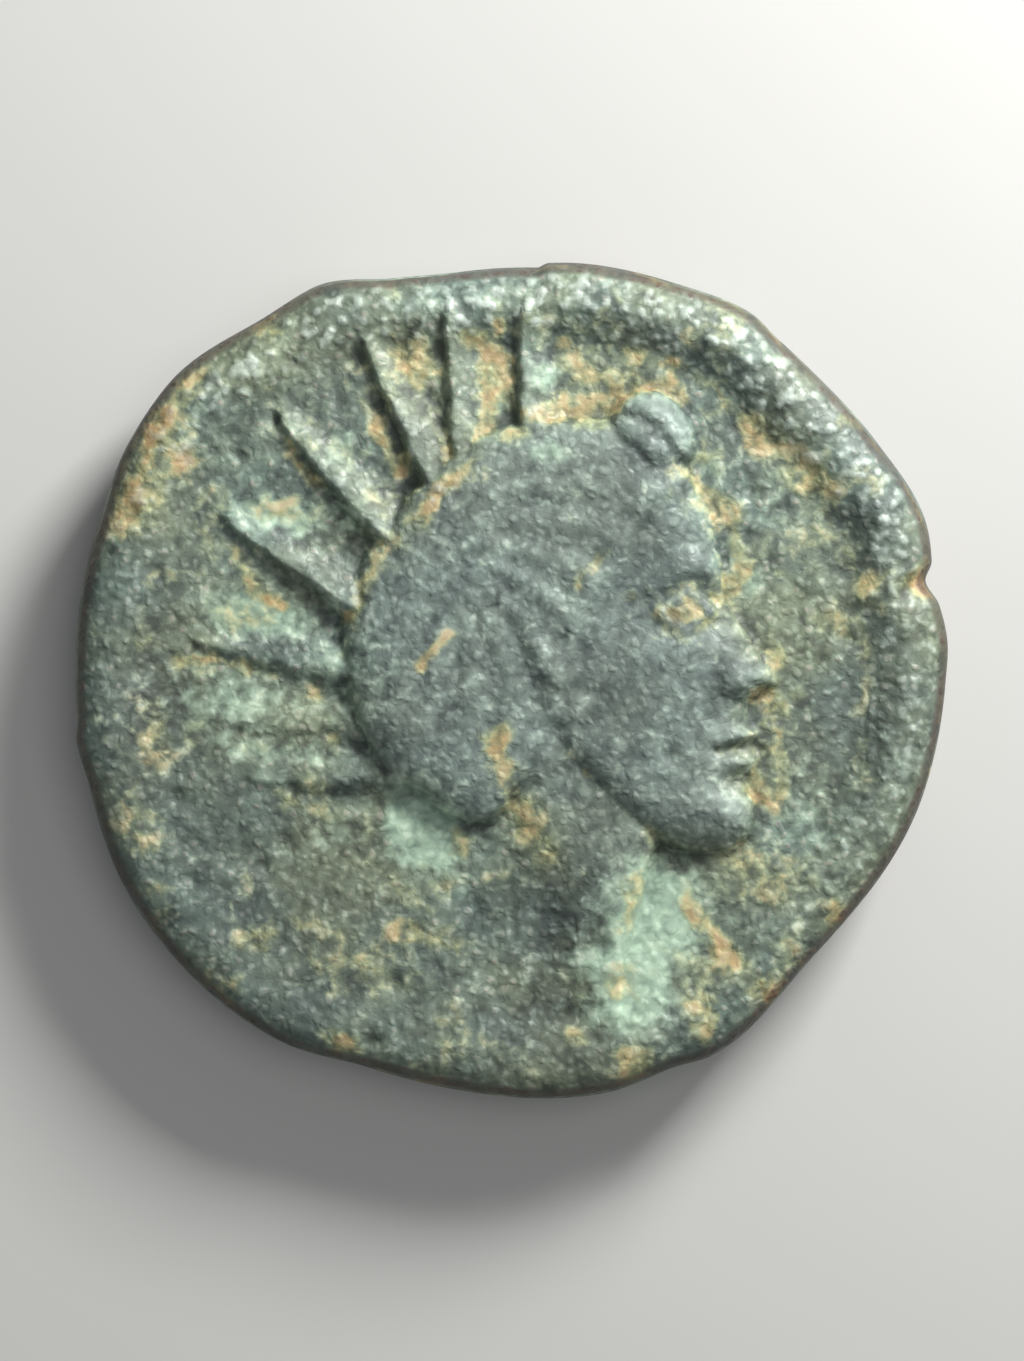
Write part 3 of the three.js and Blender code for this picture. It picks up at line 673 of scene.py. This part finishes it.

# Dark tarnish where the crust has come away or never formed, and painted shade where the light falls off or
# a slope faces away from it.
tarnishAndShade = {
    "seed": seeds["tarnishAndShade"],
    "spots": [
        ((1.0, -4.8), (1.4, 1.5), 0, 0.95), ((0.8, -6.5), (0.8, 1.0), 0, 0.8),
        ((-3.2, -3.2), (0.7, 0.4), 20, 0.6), ((-5.7, -2.2), (0.5, 0.4), 0, 0.5),
        ((-6.1, -3.1), (0.5, 0.4), 0, 0.45), ((-4.9, 0.7), (1.0, 0.4), -15, 0.8),
        ((2.75, 4.6), (0.8, 0.7), 0, 0.55), ((-3.9, 5.0), (0.5, 0.4), -35, 0.4),
        # The broad spots at the lower left, the left, the bottom and the right are painted shade: the field
        # is darker where the light falls off.
        ((4.1, -3.4), (1.0, 0.4), 30, 0.5), ((-5.4, -4.8), (3.4, 2.0), -45, 0.72),
        ((-7.6, -0.8), (1.3, 3.4), 0, 0.75), ((0.6, -7.2), (4.6, 1.3), 0, 0.6),
        ((7.5, 0.2), (1.5, 4.2), 0, 0.65), ((-2.6, -4.8), (1.9, 1.4), 0, 0.42),
        ((4.4, 4.8), (0.9, 1.2), -40, 0.5), ((-6.2, -0.9), (1.0, 1.0), 0, 0.4),
    ],
    # The first streak is painted shade on the rim's inner slope at the upper right; the last five are
    # painted shade on the rays' lower-left sides.
    "streaks": [
        ([(1.8, 7.35), (3.9, 6.8), (5.7, 5.8), (7.0, 4.75), (7.65, 3.2)], 0.5, 0.65),
        ([(-3.6, -2.0), (-2.4, -2.1), (-1.8, -2.35), (-1.2, -3.2)], 0.35, 0.75),
        ([(-2.3, 5.3), (-1.6, 4.6), (-1.2, 4.2)], 0.35, 0.45),
        ([(-4.0, 4.4), (-2.8, 3.3)], 0.35, 0.4),
        ([(-5.0, 2.75), (-3.3, 1.85)], 0.36, 0.4),
        ([(-0.9, 7.2), (-0.95, 5.2)], 0.3, 0.25),
        ([(0.3, 7.2), (0.35, 5.4)], 0.3, 0.25),
    ],
}

# The borders of all three.
depositEdge = {
    "wander": 0.25,
    "wanderSize": 0.8,
    "ragged": 0.6,  # share of the thickness
    "raggedSize": 0.5,
}


def deposit(places, x, y):
    # The thickest of the bell-shaped spots and streaks at each point, with wandering and ragged borders
    wanderX, wanderY = (
        depositEdge["wander"] * cloudNoise(x, y, depositEdge["wanderSize"], places["seed"] + k)
        for k in seeds["depositWander"]
    )
    x, y = x + wanderX, y + wanderY
    thickness = np.zeros(x.shape)
    for (atX, atY), (reachX, reachY), turn, strength in places["spots"]:
        dx, dy = turned(x - atX, y - atY, -turn)
        thickness = np.maximum(thickness, strength * np.exp(-((dx / reachX) ** 2) - (dy / reachY) ** 2))
    for path, width, strength in places["streaks"]:
        thickness = np.maximum(thickness, strength * np.exp(-((distanceToPath(x, y, path) / width) ** 2)))
    ragged = cloudNoise(x, y, depositEdge["raggedSize"], places["seed"], 3)
    return np.clip(thickness * (1 + depositEdge["ragged"] * ragged), 0, 1)


def crustHeight(x, y, smoothness, crested, seed):
    # Grains of crust over a coarser crust, less the pits, all fainter where wear has smoothed the metal
    grain = domes(x, y, surface["grainSize"], surface["grainReach"], 1, seed["grain"])
    coarse = cloudNoise(x, y, surface["coarseSize"], seed["coarse"], 3)
    pits = domes(x, y, surface["pitSize"], surface["pitReach"], surface["pitShare"], seed["pits"])
    grainRise = mix(surface["grainRise"], surface["rimGrainRise"], crested)
    crust = grainRise * grain + surface["coarseRise"] * coarse - surface["pitDepth"] * pits
    return crust * (1 - surface["wornAway"] * smoothness), grain


# Earth also lodges beside the relief, in the field and in the corners that wear doesn't reach.
lodged = {
    "reach": 9,  # in cells of the obverse
    "depth": (0.02, 0.09),  # of the corners between which it comes in
    "share": 0.75,
    "patchSize": 1.1,  # it lies in patches
    "patchBetween": (0, 0.6),  # levels of the noise
    "upward": 0.35,  # more of it lies towards the upper right
    "upwardReach": 0.5,  # share of the head's height
    "wiped": 0.5,  # share that is wiped off what stands high
    "film": {"size": 1.7, "octaves": 4, "between": (0, 0.45), "most": 0.38},  # dulls the field
}


def obverseFace(cells):
    # Heights of the obverse and what lies on it
    x, y, fromEdge, roundedOff = facePlan(cells, flan["obverseRound"], 0)
    wanderX, wanderY = (
        surface["wander"] * cloudNoise(x, y, surface["wanderSize"], seed, 3) for seed in seeds["wander"]
    )
    rise, hx, hy = figure(x + wanderX, y + wanderY)
    rise = np.minimum(rise * smooth(fromEdge, rim["reliefStart"], rim["reliefFull"]), head["wornTop"])
    base = rise + rimRise(x, y, fromEdge) + crackRise(x, y)
    crested = smooth(base - rise, 0, rim["coarseRise"])
    crested = crested * (1 - smooth(fromEdge, rim["coarseShare"] * rim["band"], rim["band"]))
    smoothness = smooth(rise, *surface["smoothBetween"])
    crust, grain = crustHeight(x, y, smoothness, crested, seeds["obverseCrust"])
    swell = surface["swellRise"] * softNoise(x, y, surface["swellSize"], seeds["swell"])
    height = base + crust + swell * smooth(fromEdge, 0, surface["swellEdge"])

    broadHollow = blurred(base, lodged["reach"]) - base
    upward = lodged["upward"] * np.clip((hx + hy) / lodged["upwardReach"], -1, 1)
    cornerNoise = cloudNoise(x, y, lodged["patchSize"], seeds["corners"])
    broken = smooth(cornerNoise + upward, *lodged["patchBetween"])
    inCorners = lodged["share"] * smooth(broadHollow, *lodged["depth"]) * broken
    wiped = lodged["wiped"] * smooth(-broadHollow, *lodged["depth"])
    film = patches(x, y, lodged["film"], seeds["film"]) * (1 - smoothness)
    # Pale grains on the rim's crest, more of them towards the top where the light falls, and on the rays'
    # tops: rubbed crust and painted glints
    rimWearAndGlints = mix(rim["leastWearAndGlints"], rim["mostWearAndGlints"], smooth(y, *rim["wearBetween"]))
    rayWearAndGlints = rays["wear"] * smooth(rayRise(hx, hy), *rays["wearBetween"])
    masks = {
        "hollow": blurred(height, surface["hollowReach"]) - height,
        "smoothness": smoothness,
        "earth": np.maximum(np.maximum(deposit(earth, x, y), inCorners) * (1 - wiped), film),
        "verdigris": deposit(verdigris, x, y),
        # Tarnish, with painted shade on the rays' lower-left sides, the rim's inner slope and towards the
        # bottom, left and right
        "tarnishAndShade": deposit(tarnishAndShade, x, y),
        "rubbedAndGlints": np.maximum(rimWearAndGlints * crested, rayWearAndGlints) * smooth(grain, *surface["rubbedAndGlintGrains"]),
        "bareEdge": 1 - smooth(fromEdge, *flan["bareEdge"]),
    }
    fieldLevel = star["wornTop"] + flan["coreThickness"]
    z = fieldLevel + height + surface["earthThickness"] * masks["earth"] - roundedOff
    print("obverse:", x.size, "points, highest relief", round(rise.max(), 3), "mm")
    return x, y, z, masks


# Wear and deposits on the reverse, where heights are those of its star.
reverseSurface = {
    "crustWorn": (0.05, 0.2),  # the crust wears down between these heights
    "smoothBetween": (0.1, 0.24),  # and the colour of smooth metal comes in
    "rubbedAndGlints": 0.6,  # share of the grains on top that are rubbed pale
    "rubbedBetween": (0.15, 0.25),
    "rubbedAndGlintGrains": (0.3, 0.9),
    "hollowReach": 2,  # in cells of the reverse
    "cornerReach": 4,
    "cornerDepth": 0.045,
    "earth": 0.75,
    "earthBetween": (0.8, 2.2),
    "earthNoise": 2.4,  # weighed against the depth of the corners
    "earthSize": 2.4,
    "verdigris": {"size": 2.2, "octaves": 4, "between": (0.15, 0.6), "most": 0.8},
    "tarnishAndShade": {"size": 1.9, "octaves": 4, "between": (0.1, 0.6), "most": 0.8},
}


def reverseFace(cells):
    # Heights of the reverse and what lies on it
    own = reverseSurface
    x, y, fromEdge, roundedOff = facePlan(cells, flan["reverseRound"], flan["taper"])
    rise = reverseRise(x, y, fromEdge)
    crust, grain = crustHeight(x, y, smooth(rise, *own["crustWorn"]), 0, seeds["reverseCrust"])
    height = np.minimum(rise + crust, star["wornTop"])
    broadHollow = blurred(rise, own["cornerReach"]) - rise
    earthNoise = own["earthNoise"] * cloudNoise(x, y, own["earthSize"], seeds["reverseEarth"])
    rubbedAndGlints = own["rubbedAndGlints"] * smooth(rise, *own["rubbedBetween"])
    masks = {
        "hollow": blurred(height, own["hollowReach"]) - height,
        "smoothness": smooth(rise, *own["smoothBetween"]),
        "earth": own["earth"] * smooth(broadHollow / own["cornerDepth"] + earthNoise, *own["earthBetween"]),
        "verdigris": patches(x, y, own["verdigris"], seeds["reverseVerdigris"]),
        "tarnishAndShade": patches(x, y, own["tarnishAndShade"], seeds["reverseTarnish"]),
        "rubbedAndGlints": rubbedAndGlints * smooth(grain, *own["rubbedAndGlintGrains"]),
        "bareEdge": 1 - smooth(fromEdge, *flan["bareEdge"]),
    }
    print("reverse:", x.size, "points")
    return x, y, star["wornTop"] - height + roundedOff, masks


def sideRings(bearings):
    # Rings of the side from the obverse's rounding to the reverse's, along quarter circles, with the waver
    # of a cast, hammered edge
    top = star["wornTop"] + flan["coreThickness"]
    angles = np.linspace(math.asin(flan["faceShare"]), math.pi / 2, meshSizes["roundSteps"])[1:]
    insets = [flan["obverseRound"] * (1 - math.sin(a)) for a in angles]
    insets += [flan["taper"] + flan["reverseRound"] * (1 - math.sin(a)) for a in angles[::-1]]
    heights = [top - flan["obverseRound"] * (1 - math.cos(a)) for a in angles]
    heights += [flan["reverseRound"] * (1 - math.cos(a)) for a in angles[::-1]]
    rings = []
    for inset, z in zip(insets, heights):
        around = flan["edgeStretch"] * (bearings - np.pi)
        level = np.full(bearings.shape, z)
        waver = 1 + softNoise(around, level, flan["edgeWaverSpacing"], seeds["edgeWaver"])
        ringX, ringY = edgePoint(bearings, inset + flan["edgeWaver"] * waver)
        rings.append(np.stack([ringX, ringY, level], -1))
    return rings


# Deposits on the side, and how bare it is.
sideSurface = {
    "smoothness": 0.5,
    "tarnishAndShade": 0.4,
    "earth": {"size": 1.2, "octaves": 3, "between": (0.1, 0.6), "most": 0.7},
    "verdigris": {"size": 1.5, "octaves": 3, "between": (0.1, 0.6), "most": 0.7},
    "leastBare": 0.5,
    "bare": {"size": 1.3, "octaves": 3, "between": (-0.3, 0.3), "most": 0.5},  # on top of that
}


def sideMasks(side):
    # What lies on the side, in patches that are longer round the edge than up it
    around, level = flan["edgeStretch"] * np.arctan2(side[:, 1], side[:, 0]), side[:, 2]
    none = np.zeros(len(side))
    bare = sideSurface["leastBare"] + patches(around, level, sideSurface["bare"], seeds["sideBare"])
    return {
        "hollow": none,
        "smoothness": none + sideSurface["smoothness"],
        "earth": patches(around, level, sideSurface["earth"], seeds["sideEarth"]),
        "verdigris": patches(around, level, sideSurface["verdigris"], seeds["sideVerdigris"]),
        "tarnishAndShade": none + sideSurface["tarnishAndShade"],
        "rubbedAndGlints": none,
        "bareEdge": bare,
    }


def makeCoin():
    # Both faces and the side joined into one closed skin, with the masks as one value a point
    cells, lowCells = meshSizes["obverseCells"], meshSizes["reverseCells"]
    *topPoints, topMasks = obverseFace(cells)
    *lowPoints, lowMasks = reverseFace(lowCells)
    topPoints, lowPoints = (np.stack(p, -1).reshape(-1, 3) for p in (topPoints, lowPoints))
    topLoop, lowLoop = gridLoop(cells), gridLoop(lowCells, len(topPoints))
    rings = sideRings(squareGrid(cells)[1].ravel()[topLoop])

    triangles = [gridTriangles(cells), gridTriangles(lowCells, len(topPoints))[:, ::-1]]
    above, first = topLoop, len(topPoints) + len(lowPoints)
    for ring in rings:
        below = first + np.arange(len(ring))
        triangles.append(band(above, below))
        above, first = below, first + len(ring)
    triangles.append(halvingBand(above, lowLoop))

    edgeMasks = sideMasks(np.concatenate(rings))
    masks = {
        name: np.concatenate([topMasks[name].ravel(), lowMasks[name].ravel(), edgeMasks[name]])
        for name in topMasks
    }
    print("side:", len(rings), "rings")
    return np.concatenate([topPoints, lowPoints, *rings]), np.concatenate(triangles), masks


points, triangles, masks = makeCoin()
print("coin:", len(points), "points,", len(triangles), "triangles")

fitMargin = 0.9995  # leaves the skin a hair inside the solid's box
low, high = points.min(0), points.max(0)
fit = np.array(boxSize) / (high - low) * fitMargin
print("fitted to the solid's box by", fit)
points = (points - (low + high) / 2) * fit + np.array(boxMiddle)

mesh = bpy.data.meshes.new("coin")
mesh.vertices.add(len(points))
mesh.vertices.foreach_set("co", (points * metresPerMm).astype(np.float32).ravel())
mesh.loops.add(triangles.size)
mesh.loops.foreach_set("vertex_index", triangles.astype(np.int32).ravel())
mesh.polygons.add(len(triangles))
mesh.polygons.foreach_set("loop_start", np.arange(0, triangles.size, 3, dtype=np.int32))
mesh.polygons.foreach_set("use_smooth", np.ones(len(triangles), bool))
mesh.update()
mesh.validate()
for name, values in masks.items():
    mesh.attributes.new(name, "FLOAT", "POINT").data.foreach_set("value", values.astype(np.float32))

coin = bpy.data.objects.new("coin_surface", mesh)
bpy.context.scene.collection.objects.link(coin)
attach(coin, "root")
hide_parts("coin")


def linear(hexColour):
    # An sRGB hex colour as linear light, with full alpha
    values = [int(hexColour[i : i + 2], 16) / 255 for i in (1, 3, 5)]
    return [v / 12.92 if v <= 0.04045 else ((v + 0.055) / 1.055) ** 2.4 for v in values] + [1]


def addNode(tree, kind, sockets=None, output=0, ramp=(), **settings):
    # One node with its settings; each socket named takes a value, a hex colour or another node's output. A
    # Mix node's sockets are 0 for the share, 2 and 3 for numbers, and 6 and 7 for colours.
    node = tree.nodes.new(kind)
    for name, value in settings.items():
        setattr(node, name, value)
    for name, value in (sockets or {}).items():
        if isinstance(value, bpy.types.NodeSocket):
            tree.links.new(value, node.inputs[name])
        else:
            node.inputs[name].default_value = linear(value) if isinstance(value, str) else value
    for k, (at, colour) in enumerate(ramp):
        stop = node.color_ramp.elements[k] if k < 2 else node.color_ramp.elements.new(at)
        stop.position = at
        stop.color = linear(colour) if isinstance(colour, str) else (colour, colour, colour, 1)
    return node.outputs[output]


def perMm(size):
    # A texture's scale, for features of a size in millimetres
    return 1 / (size * metresPerMm)


# Leaded bronze with a natural patina: dull grey-green copper minerals in a crust of fine pale grains, worn
# to a smoother slate on what stands high, with earth in the hollows and red copper oxide along the edge.
patina = {
    "patchSize": 2.6,  # of green and olive
    "shadeSize": 1.7,  # of darker clouds
    "mottleSize": 0.62,
    "blotSize": 0.3,
    "grainSize": 0.2,
    "grainWaver": 0.25,
    "grainWaverSize": 0.35,
    "grainDepth": 0.017,
    "fineGrainSize": 0.09,
    "blotShare": 0.6,  # of blots in the tone, against mottling
    "grainShare": 0.25,  # of grains in it, against both
    "hollowShade": 1.1,  # how much a hollow of 1 mm takes from it
    "slateShare": 0.75,  # of slate where the metal is worn smooth
    "fray": 1.6,  # how far the borders of deposits follow mottling and blots
    "soilFray": 1.8,
    "soilDepth": 0.85,  # how far thicker soil changes its colour
    "fineShare": 0.5,  # of the finer grains in the relief
    "powderFill": 0.6,  # share of the relief that powder fills
    "toneStops": (0.3, 0.42, 0.54, 0.68),  # tones at which the crust has the colours below
    "crust": {
        "green": ("#3E4944", "#5F6F66", "#798D80", "#9BB1A1"),
        "olive": ("#454B3E", "#6B745E", "#889379", "#AAB594"),
        "slate": ("#444D4A", "#636F6A", "#78867F", "#94A59B"),
        "warm": ("#4A4741", "#726E65", "#959083", "#B5B1A2"),
    },
    "shade": "#3A423F",
    # pale colour of rubbed grains and of painted glints
    "rubbedAndGlints": "#B6C2B6",
    "oxide": "#3A211C",
}

bronze = bpy.data.materials.new("patinated_bronze")
bronze.use_nodes = True
tree = bronze.node_tree
shader = tree.nodes["Principled BSDF"]
place = addNode(tree, "ShaderNodeTexCoord", output="Object")
maskNode = {
    name: addNode(tree, "ShaderNodeAttribute", attribute_name=name, output="Fac")
    for name in ("hollow", "smoothness", "rubbedAndGlints", "earth", "verdigris", "tarnishAndShade", "bareEdge")
}

# Grains: soft domes, each with its own number, a little out of round
waverSockets = {"Vector": place, "Scale": perMm(patina["grainWaverSize"]), "Detail": 3}
waver = addNode(tree, "ShaderNodeTexNoise", waverSockets, output="Color")
waverReach = [patina["grainWaver"] * metresPerMm] * 3
waverSum = {0: waver, 1: waverReach, 2: place}
wavered = addNode(tree, "ShaderNodeVectorMath", waverSum, operation="MULTIPLY_ADD")
grainSockets = {"Vector": wavered, "Scale": perMm(patina["grainSize"]), "Smoothness": 0.6}
fromMiddle = addNode(tree, "ShaderNodeTexVoronoi", grainSockets, feature="SMOOTH_F1")
grainNumber = fromMiddle.node.outputs["Color"]
grainTop = addNode(tree, "ShaderNodeValToRGB", {0: fromMiddle}, ramp=[(0.0, 1.0), (0.25, 0.6), (0.5, 0.0)])
fineSockets = {"Vector": wavered, "Scale": perMm(patina["fineGrainSize"]), "Detail": 2}
fineGrain = addNode(tree, "ShaderNodeTexNoise", fineSockets)

# Tone: 0.5 in the middle, from mottling, blots and grains, less in the hollows, where dirt and painted shade
# darken it
mottleSockets = {"Vector": place, "Scale": perMm(patina["mottleSize"]), "Detail": 4, "Roughness": 0.6}
mottle = addNode(tree, "ShaderNodeTexNoise", mottleSockets)
blotSockets = {"Vector": wavered, "Scale": perMm(patina["blotSize"]), "Detail": 2}
blot = addNode(tree, "ShaderNodeTexNoise", blotSockets)
cloud = addNode(tree, "ShaderNodeMix", {0: patina["blotShare"], 2: mottle, 3: blot})
ownTone = addNode(tree, "ShaderNodeMix", {0: 0.5, 2: grainTop, 3: grainNumber})
grainy = addNode(tree, "ShaderNodeMix", {0: patina["grainShare"], 2: cloud, 3: ownTone})
toneSum = {0: maskNode["hollow"], 1: -patina["hollowShade"], 2: grainy}
shadedTone = addNode(tree, "ShaderNodeMath", toneSum, operation="MULTIPLY_ADD")

# Crust: green and olive in patches, slate where worn, with warm grains and darker clouds
green, olive, slate, warm = (
    addNode(tree, "ShaderNodeValToRGB", {0: shadedTone}, ramp=list(zip(patina["toneStops"], colours)))
    for colours in patina["crust"].values()
)
patchSockets = {"Vector": place, "Scale": perMm(patina["patchSize"]), "Detail": 3}
patch = addNode(tree, "ShaderNodeTexNoise", patchSockets)
oliveShare = addNode(tree, "ShaderNodeValToRGB", {0: patch}, ramp=[(0.4, 0.1), (0.6, 0.9)])
field = addNode(tree, "ShaderNodeMix", {0: oliveShare, 6: green, 7: olive}, data_type="RGBA", output=2)
warmShare = addNode(tree, "ShaderNodeValToRGB", {0: ownTone}, ramp=[(0.5, 0.0), (0.75, 0.65)])
blotted = addNode(tree, "ShaderNodeMix", {0: warmShare, 6: field, 7: warm}, data_type="RGBA", output=2)
slateProduct = {0: maskNode["smoothness"], 1: patina["slateShare"]}
slateShare = addNode(tree, "ShaderNodeMath", slateProduct, operation="MULTIPLY")
crust = addNode(tree, "ShaderNodeMix", {0: slateShare, 6: blotted, 7: slate}, data_type="RGBA", output=2)
shadeSockets = {"Vector": place, "Scale": perMm(patina["shadeSize"]), "Detail": 4, "Roughness": 0.6}
shade = addNode(tree, "ShaderNodeTexNoise", shadeSockets)
shadeShare = addNode(tree, "ShaderNodeValToRGB", {0: shade}, ramp=[(0.36, 0.4), (0.52, 0.0)])
shadeMix = {0: shadeShare, 6: crust, 7: patina["shade"]}
clouded = addNode(tree, "ShaderNodeMix", shadeMix, data_type="RGBA", output=2)

# What lies on the crust has soft and uneven borders
fraySum = {0: cloud, 1: patina["fray"], 2: -patina["fray"] / 2}
frayed = addNode(tree, "ShaderNodeMath", fraySum, operation="MULTIPLY_ADD")
# Tarnish, and the painted shade that the same mask carries, darken the crust
bare = addNode(tree, "ShaderNodeMath", {0: maskNode["tarnishAndShade"], 1: frayed})
tarnishAndShadeShare = addNode(tree, "ShaderNodeValToRGB", {0: bare}, ramp=[(0.15, 0.0), (1.0, 0.85)])
tarnishAndShadeTone = addNode(tree, "ShaderNodeValToRGB", {0: shadedTone}, ramp=[
    (0.32, "#232829"), (0.5, "#424B49"), (0.66, "#77827F"),
])
tarnishAndShadeMix = {0: tarnishAndShadeShare, 6: clouded, 7: tarnishAndShadeTone}
tarnishedAndShaded = addNode(tree, "ShaderNodeMix", tarnishAndShadeMix, data_type="RGBA", output=2)
powder = addNode(tree, "ShaderNodeMath", {0: maskNode["verdigris"], 1: frayed})
powderShare = addNode(tree, "ShaderNodeValToRGB", {0: powder}, ramp=[(0.15, 0.0), (0.85, 0.9)])
powderTone = addNode(tree, "ShaderNodeValToRGB", {0: shadedTone}, ramp=[
    (0.3, "#7F9685"), (0.48, "#A6BFA6"), (0.64, "#CCE0C6"),
])
powderMix = {0: powderShare, 6: tarnishedAndShaded, 7: powderTone}
powdered = addNode(tree, "ShaderNodeMix", powderMix, data_type="RGBA", output=2)
soil = addNode(tree, "ShaderNodeMath", {0: maskNode["earth"], 1: frayed})
soilShare = addNode(tree, "ShaderNodeValToRGB", {0: soil}, ramp=[(0.2, 0.0), (0.6, 0.75), (0.95, 0.95)])
soilFraySum = {0: mottle, 1: patina["soilFray"], 2: -patina["soilFray"] / 2}
soilWaver = addNode(tree, "ShaderNodeMath", soilFraySum, operation="MULTIPLY_ADD")
soilSum = {0: soil, 1: patina["soilDepth"], 2: soilWaver}
soilTint = addNode(tree, "ShaderNodeMath", soilSum, operation="MULTIPLY_ADD")
soilColour = addNode(tree, "ShaderNodeValToRGB", {0: soilTint}, ramp=[
    (0.25, "#929D7E"), (0.45, "#AFB68C"), (0.65, "#C2BA8B"), (0.82, "#C8B485"), (1.0, "#BA9D70"),
])
# Soil is darker where the tone is low: between grains, and as painted shade in the hollows
gap = addNode(tree, "ShaderNodeValToRGB", {0: shadedTone}, ramp=[
    (0.3, "#A09C91"), (0.5, "#EBE9E2"), (0.64, "#FFFFFF"),
])
gapped = {0: 1.0, 6: soilColour, 7: gap}
shadedSoil = addNode(tree, "ShaderNodeMix", gapped, data_type="RGBA", blend_type="MULTIPLY", output=2)
soilMix = {0: soilShare, 6: powdered, 7: shadedSoil}
soiled = addNode(tree, "ShaderNodeMix", soilMix, data_type="RGBA", output=2)

# Rubbed grains and painted glints are pale, and the edge is red
rubbedAndGlints = addNode(tree, "ShaderNodeMath", {0: maskNode["rubbedAndGlints"], 1: frayed})
rubbedAndGlintShare = addNode(tree, "ShaderNodeValToRGB", {0: rubbedAndGlints}, ramp=[(0.1, 0.0), (0.9, 0.75)])
crestMix = {0: rubbedAndGlintShare, 6: soiled, 7: patina["rubbedAndGlints"]}
crested = addNode(tree, "ShaderNodeMix", crestMix, data_type="RGBA", output=2)
oxide = addNode(tree, "ShaderNodeMath", {0: maskNode["bareEdge"], 1: grainy}, operation="MULTIPLY")
oxideShare = addNode(tree, "ShaderNodeValToRGB", {0: oxide}, ramp=[(0.25, 0.0), (0.55, 0.85)])
edgeMix = {0: oxideShare, 6: crested, 7: patina["oxide"]}
colour = addNode(tree, "ShaderNodeMix", edgeMix, data_type="RGBA", output=2)
tree.links.new(colour, shader.inputs["Base Color"])

# Some grains are glossier than others; the grains and finer ones in them stand up from the surface
gloss = addNode(tree, "ShaderNodeValToRGB", {0: grainNumber}, ramp=[(0.3, 0.65), (0.75, 0.48)])
roughness = addNode(tree, "ShaderNodeMix", {0: maskNode["rubbedAndGlints"], 2: gloss, 3: 0.42})
tree.links.new(roughness, shader.inputs["Roughness"])
lumps = addNode(tree, "ShaderNodeMath", {0: blot, 1: 1.0, 2: grainTop}, operation="MULTIPLY_ADD")
reliefSum = {0: fineGrain, 1: patina["fineShare"], 2: lumps}
relief = addNode(tree, "ShaderNodeMath", reliefSum, operation="MULTIPLY_ADD")
grainDepth = patina["grainDepth"] * metresPerMm
strengthSum = {0: powderShare, 1: -patina["powderFill"], 2: 1.0}
bumpStrength = addNode(tree, "ShaderNodeMath", strengthSum, operation="MULTIPLY_ADD")
bumpSockets = {"Strength": bumpStrength, "Distance": grainDepth, "Height": relief}
bump = addNode(tree, "ShaderNodeBump", bumpSockets)
tree.links.new(bump, shader.inputs["Normal"])
mesh.materials.append(bronze)
print("patina:", len(tree.nodes), "nodes")

# The studio: a pale floor, a weak sky and two soft lights. Places and sizes are in mm, powers in watts.
studio = {
    "floorHalf": 600,
    "floorColour": "#BEBDB9",
    "floorRoughness": 0.9,
    "sky": (0.9, 0.95, 1, 1),
    "skyStrength": 0.22,
    "lights": [
        ("key", (46, 62, 42), 28, 0.155),
        ("fill", (50, 10, 210), 130, 0.095),
    ],
}
floorMesh = bpy.data.meshes.new("floor")
half = studio["floorHalf"] * metresPerMm
floorCorners = [(-half, -half, 0), (half, -half, 0), (half, half, 0), (-half, half, 0)]
floorMesh.from_pydata(floorCorners, [], [(0, 1, 2, 3)])
floor = bpy.data.objects.new("floor", floorMesh)
bpy.context.scene.collection.objects.link(floor)
# Matt pale paper, which shows the coin's soft shadow and no gloss
paper = bpy.data.materials.new("pale_paper")
paper.use_nodes = True
paperInputs = paper.node_tree.nodes["Principled BSDF"].inputs
paperInputs["Base Color"].default_value = linear(studio["floorColour"])
paperInputs["Roughness"].default_value = studio["floorRoughness"]
floorMesh.materials.append(paper)

world = bpy.data.worlds.new("studio")
world.use_nodes = True
skyInputs = world.node_tree.nodes["Background"].inputs
skyInputs["Color"].default_value = studio["sky"]
skyInputs["Strength"].default_value = studio["skyStrength"]
bpy.context.scene.world = world


def addLight(name, place, size, power):
    # A square soft light at a place in mm, turned to face the coin
    data = bpy.data.lights.new(name, "AREA")
    data.size = size * metresPerMm
    data.energy = power
    light = bpy.data.objects.new(name, data)
    light.location = Vector(place) * metresPerMm
    light.rotation_euler = (-Vector(place)).to_track_quat("-Z", "Y").to_euler()
    bpy.context.scene.collection.objects.link(light)


for light in studio["lights"]:
    addLight(*light)
bpy.context.scene.view_settings.view_transform = "Standard"
print("studio:", len(studio["lights"]), "lights")

view = {
    "frameWidth": 21.11,  # of the photograph, at the coin
    "frameShape": 1361 / 1024,
    "lens": 120,
    "sensor": 36,  # the longer side
    "eyeLevel": 1.6,  # height at which the frame is that wide
    "clipRange": 50,  # nearest and farthest, as shares of the distance
}
camera = bpy.data.objects.new("camera", bpy.data.cameras.new("camera"))
camera.data.lens = view["lens"]
camera.data.sensor_width = view["sensor"]
away = view["frameWidth"] * view["frameShape"] * view["lens"] / view["sensor"]
camera.location = Vector((0, 0, view["eyeLevel"] + away)) * metresPerMm
camera.data.clip_start = away * metresPerMm / view["clipRange"]
camera.data.clip_end = away * metresPerMm * view["clipRange"]
bpy.context.scene.collection.objects.link(camera)
bpy.context.scene.camera = camera
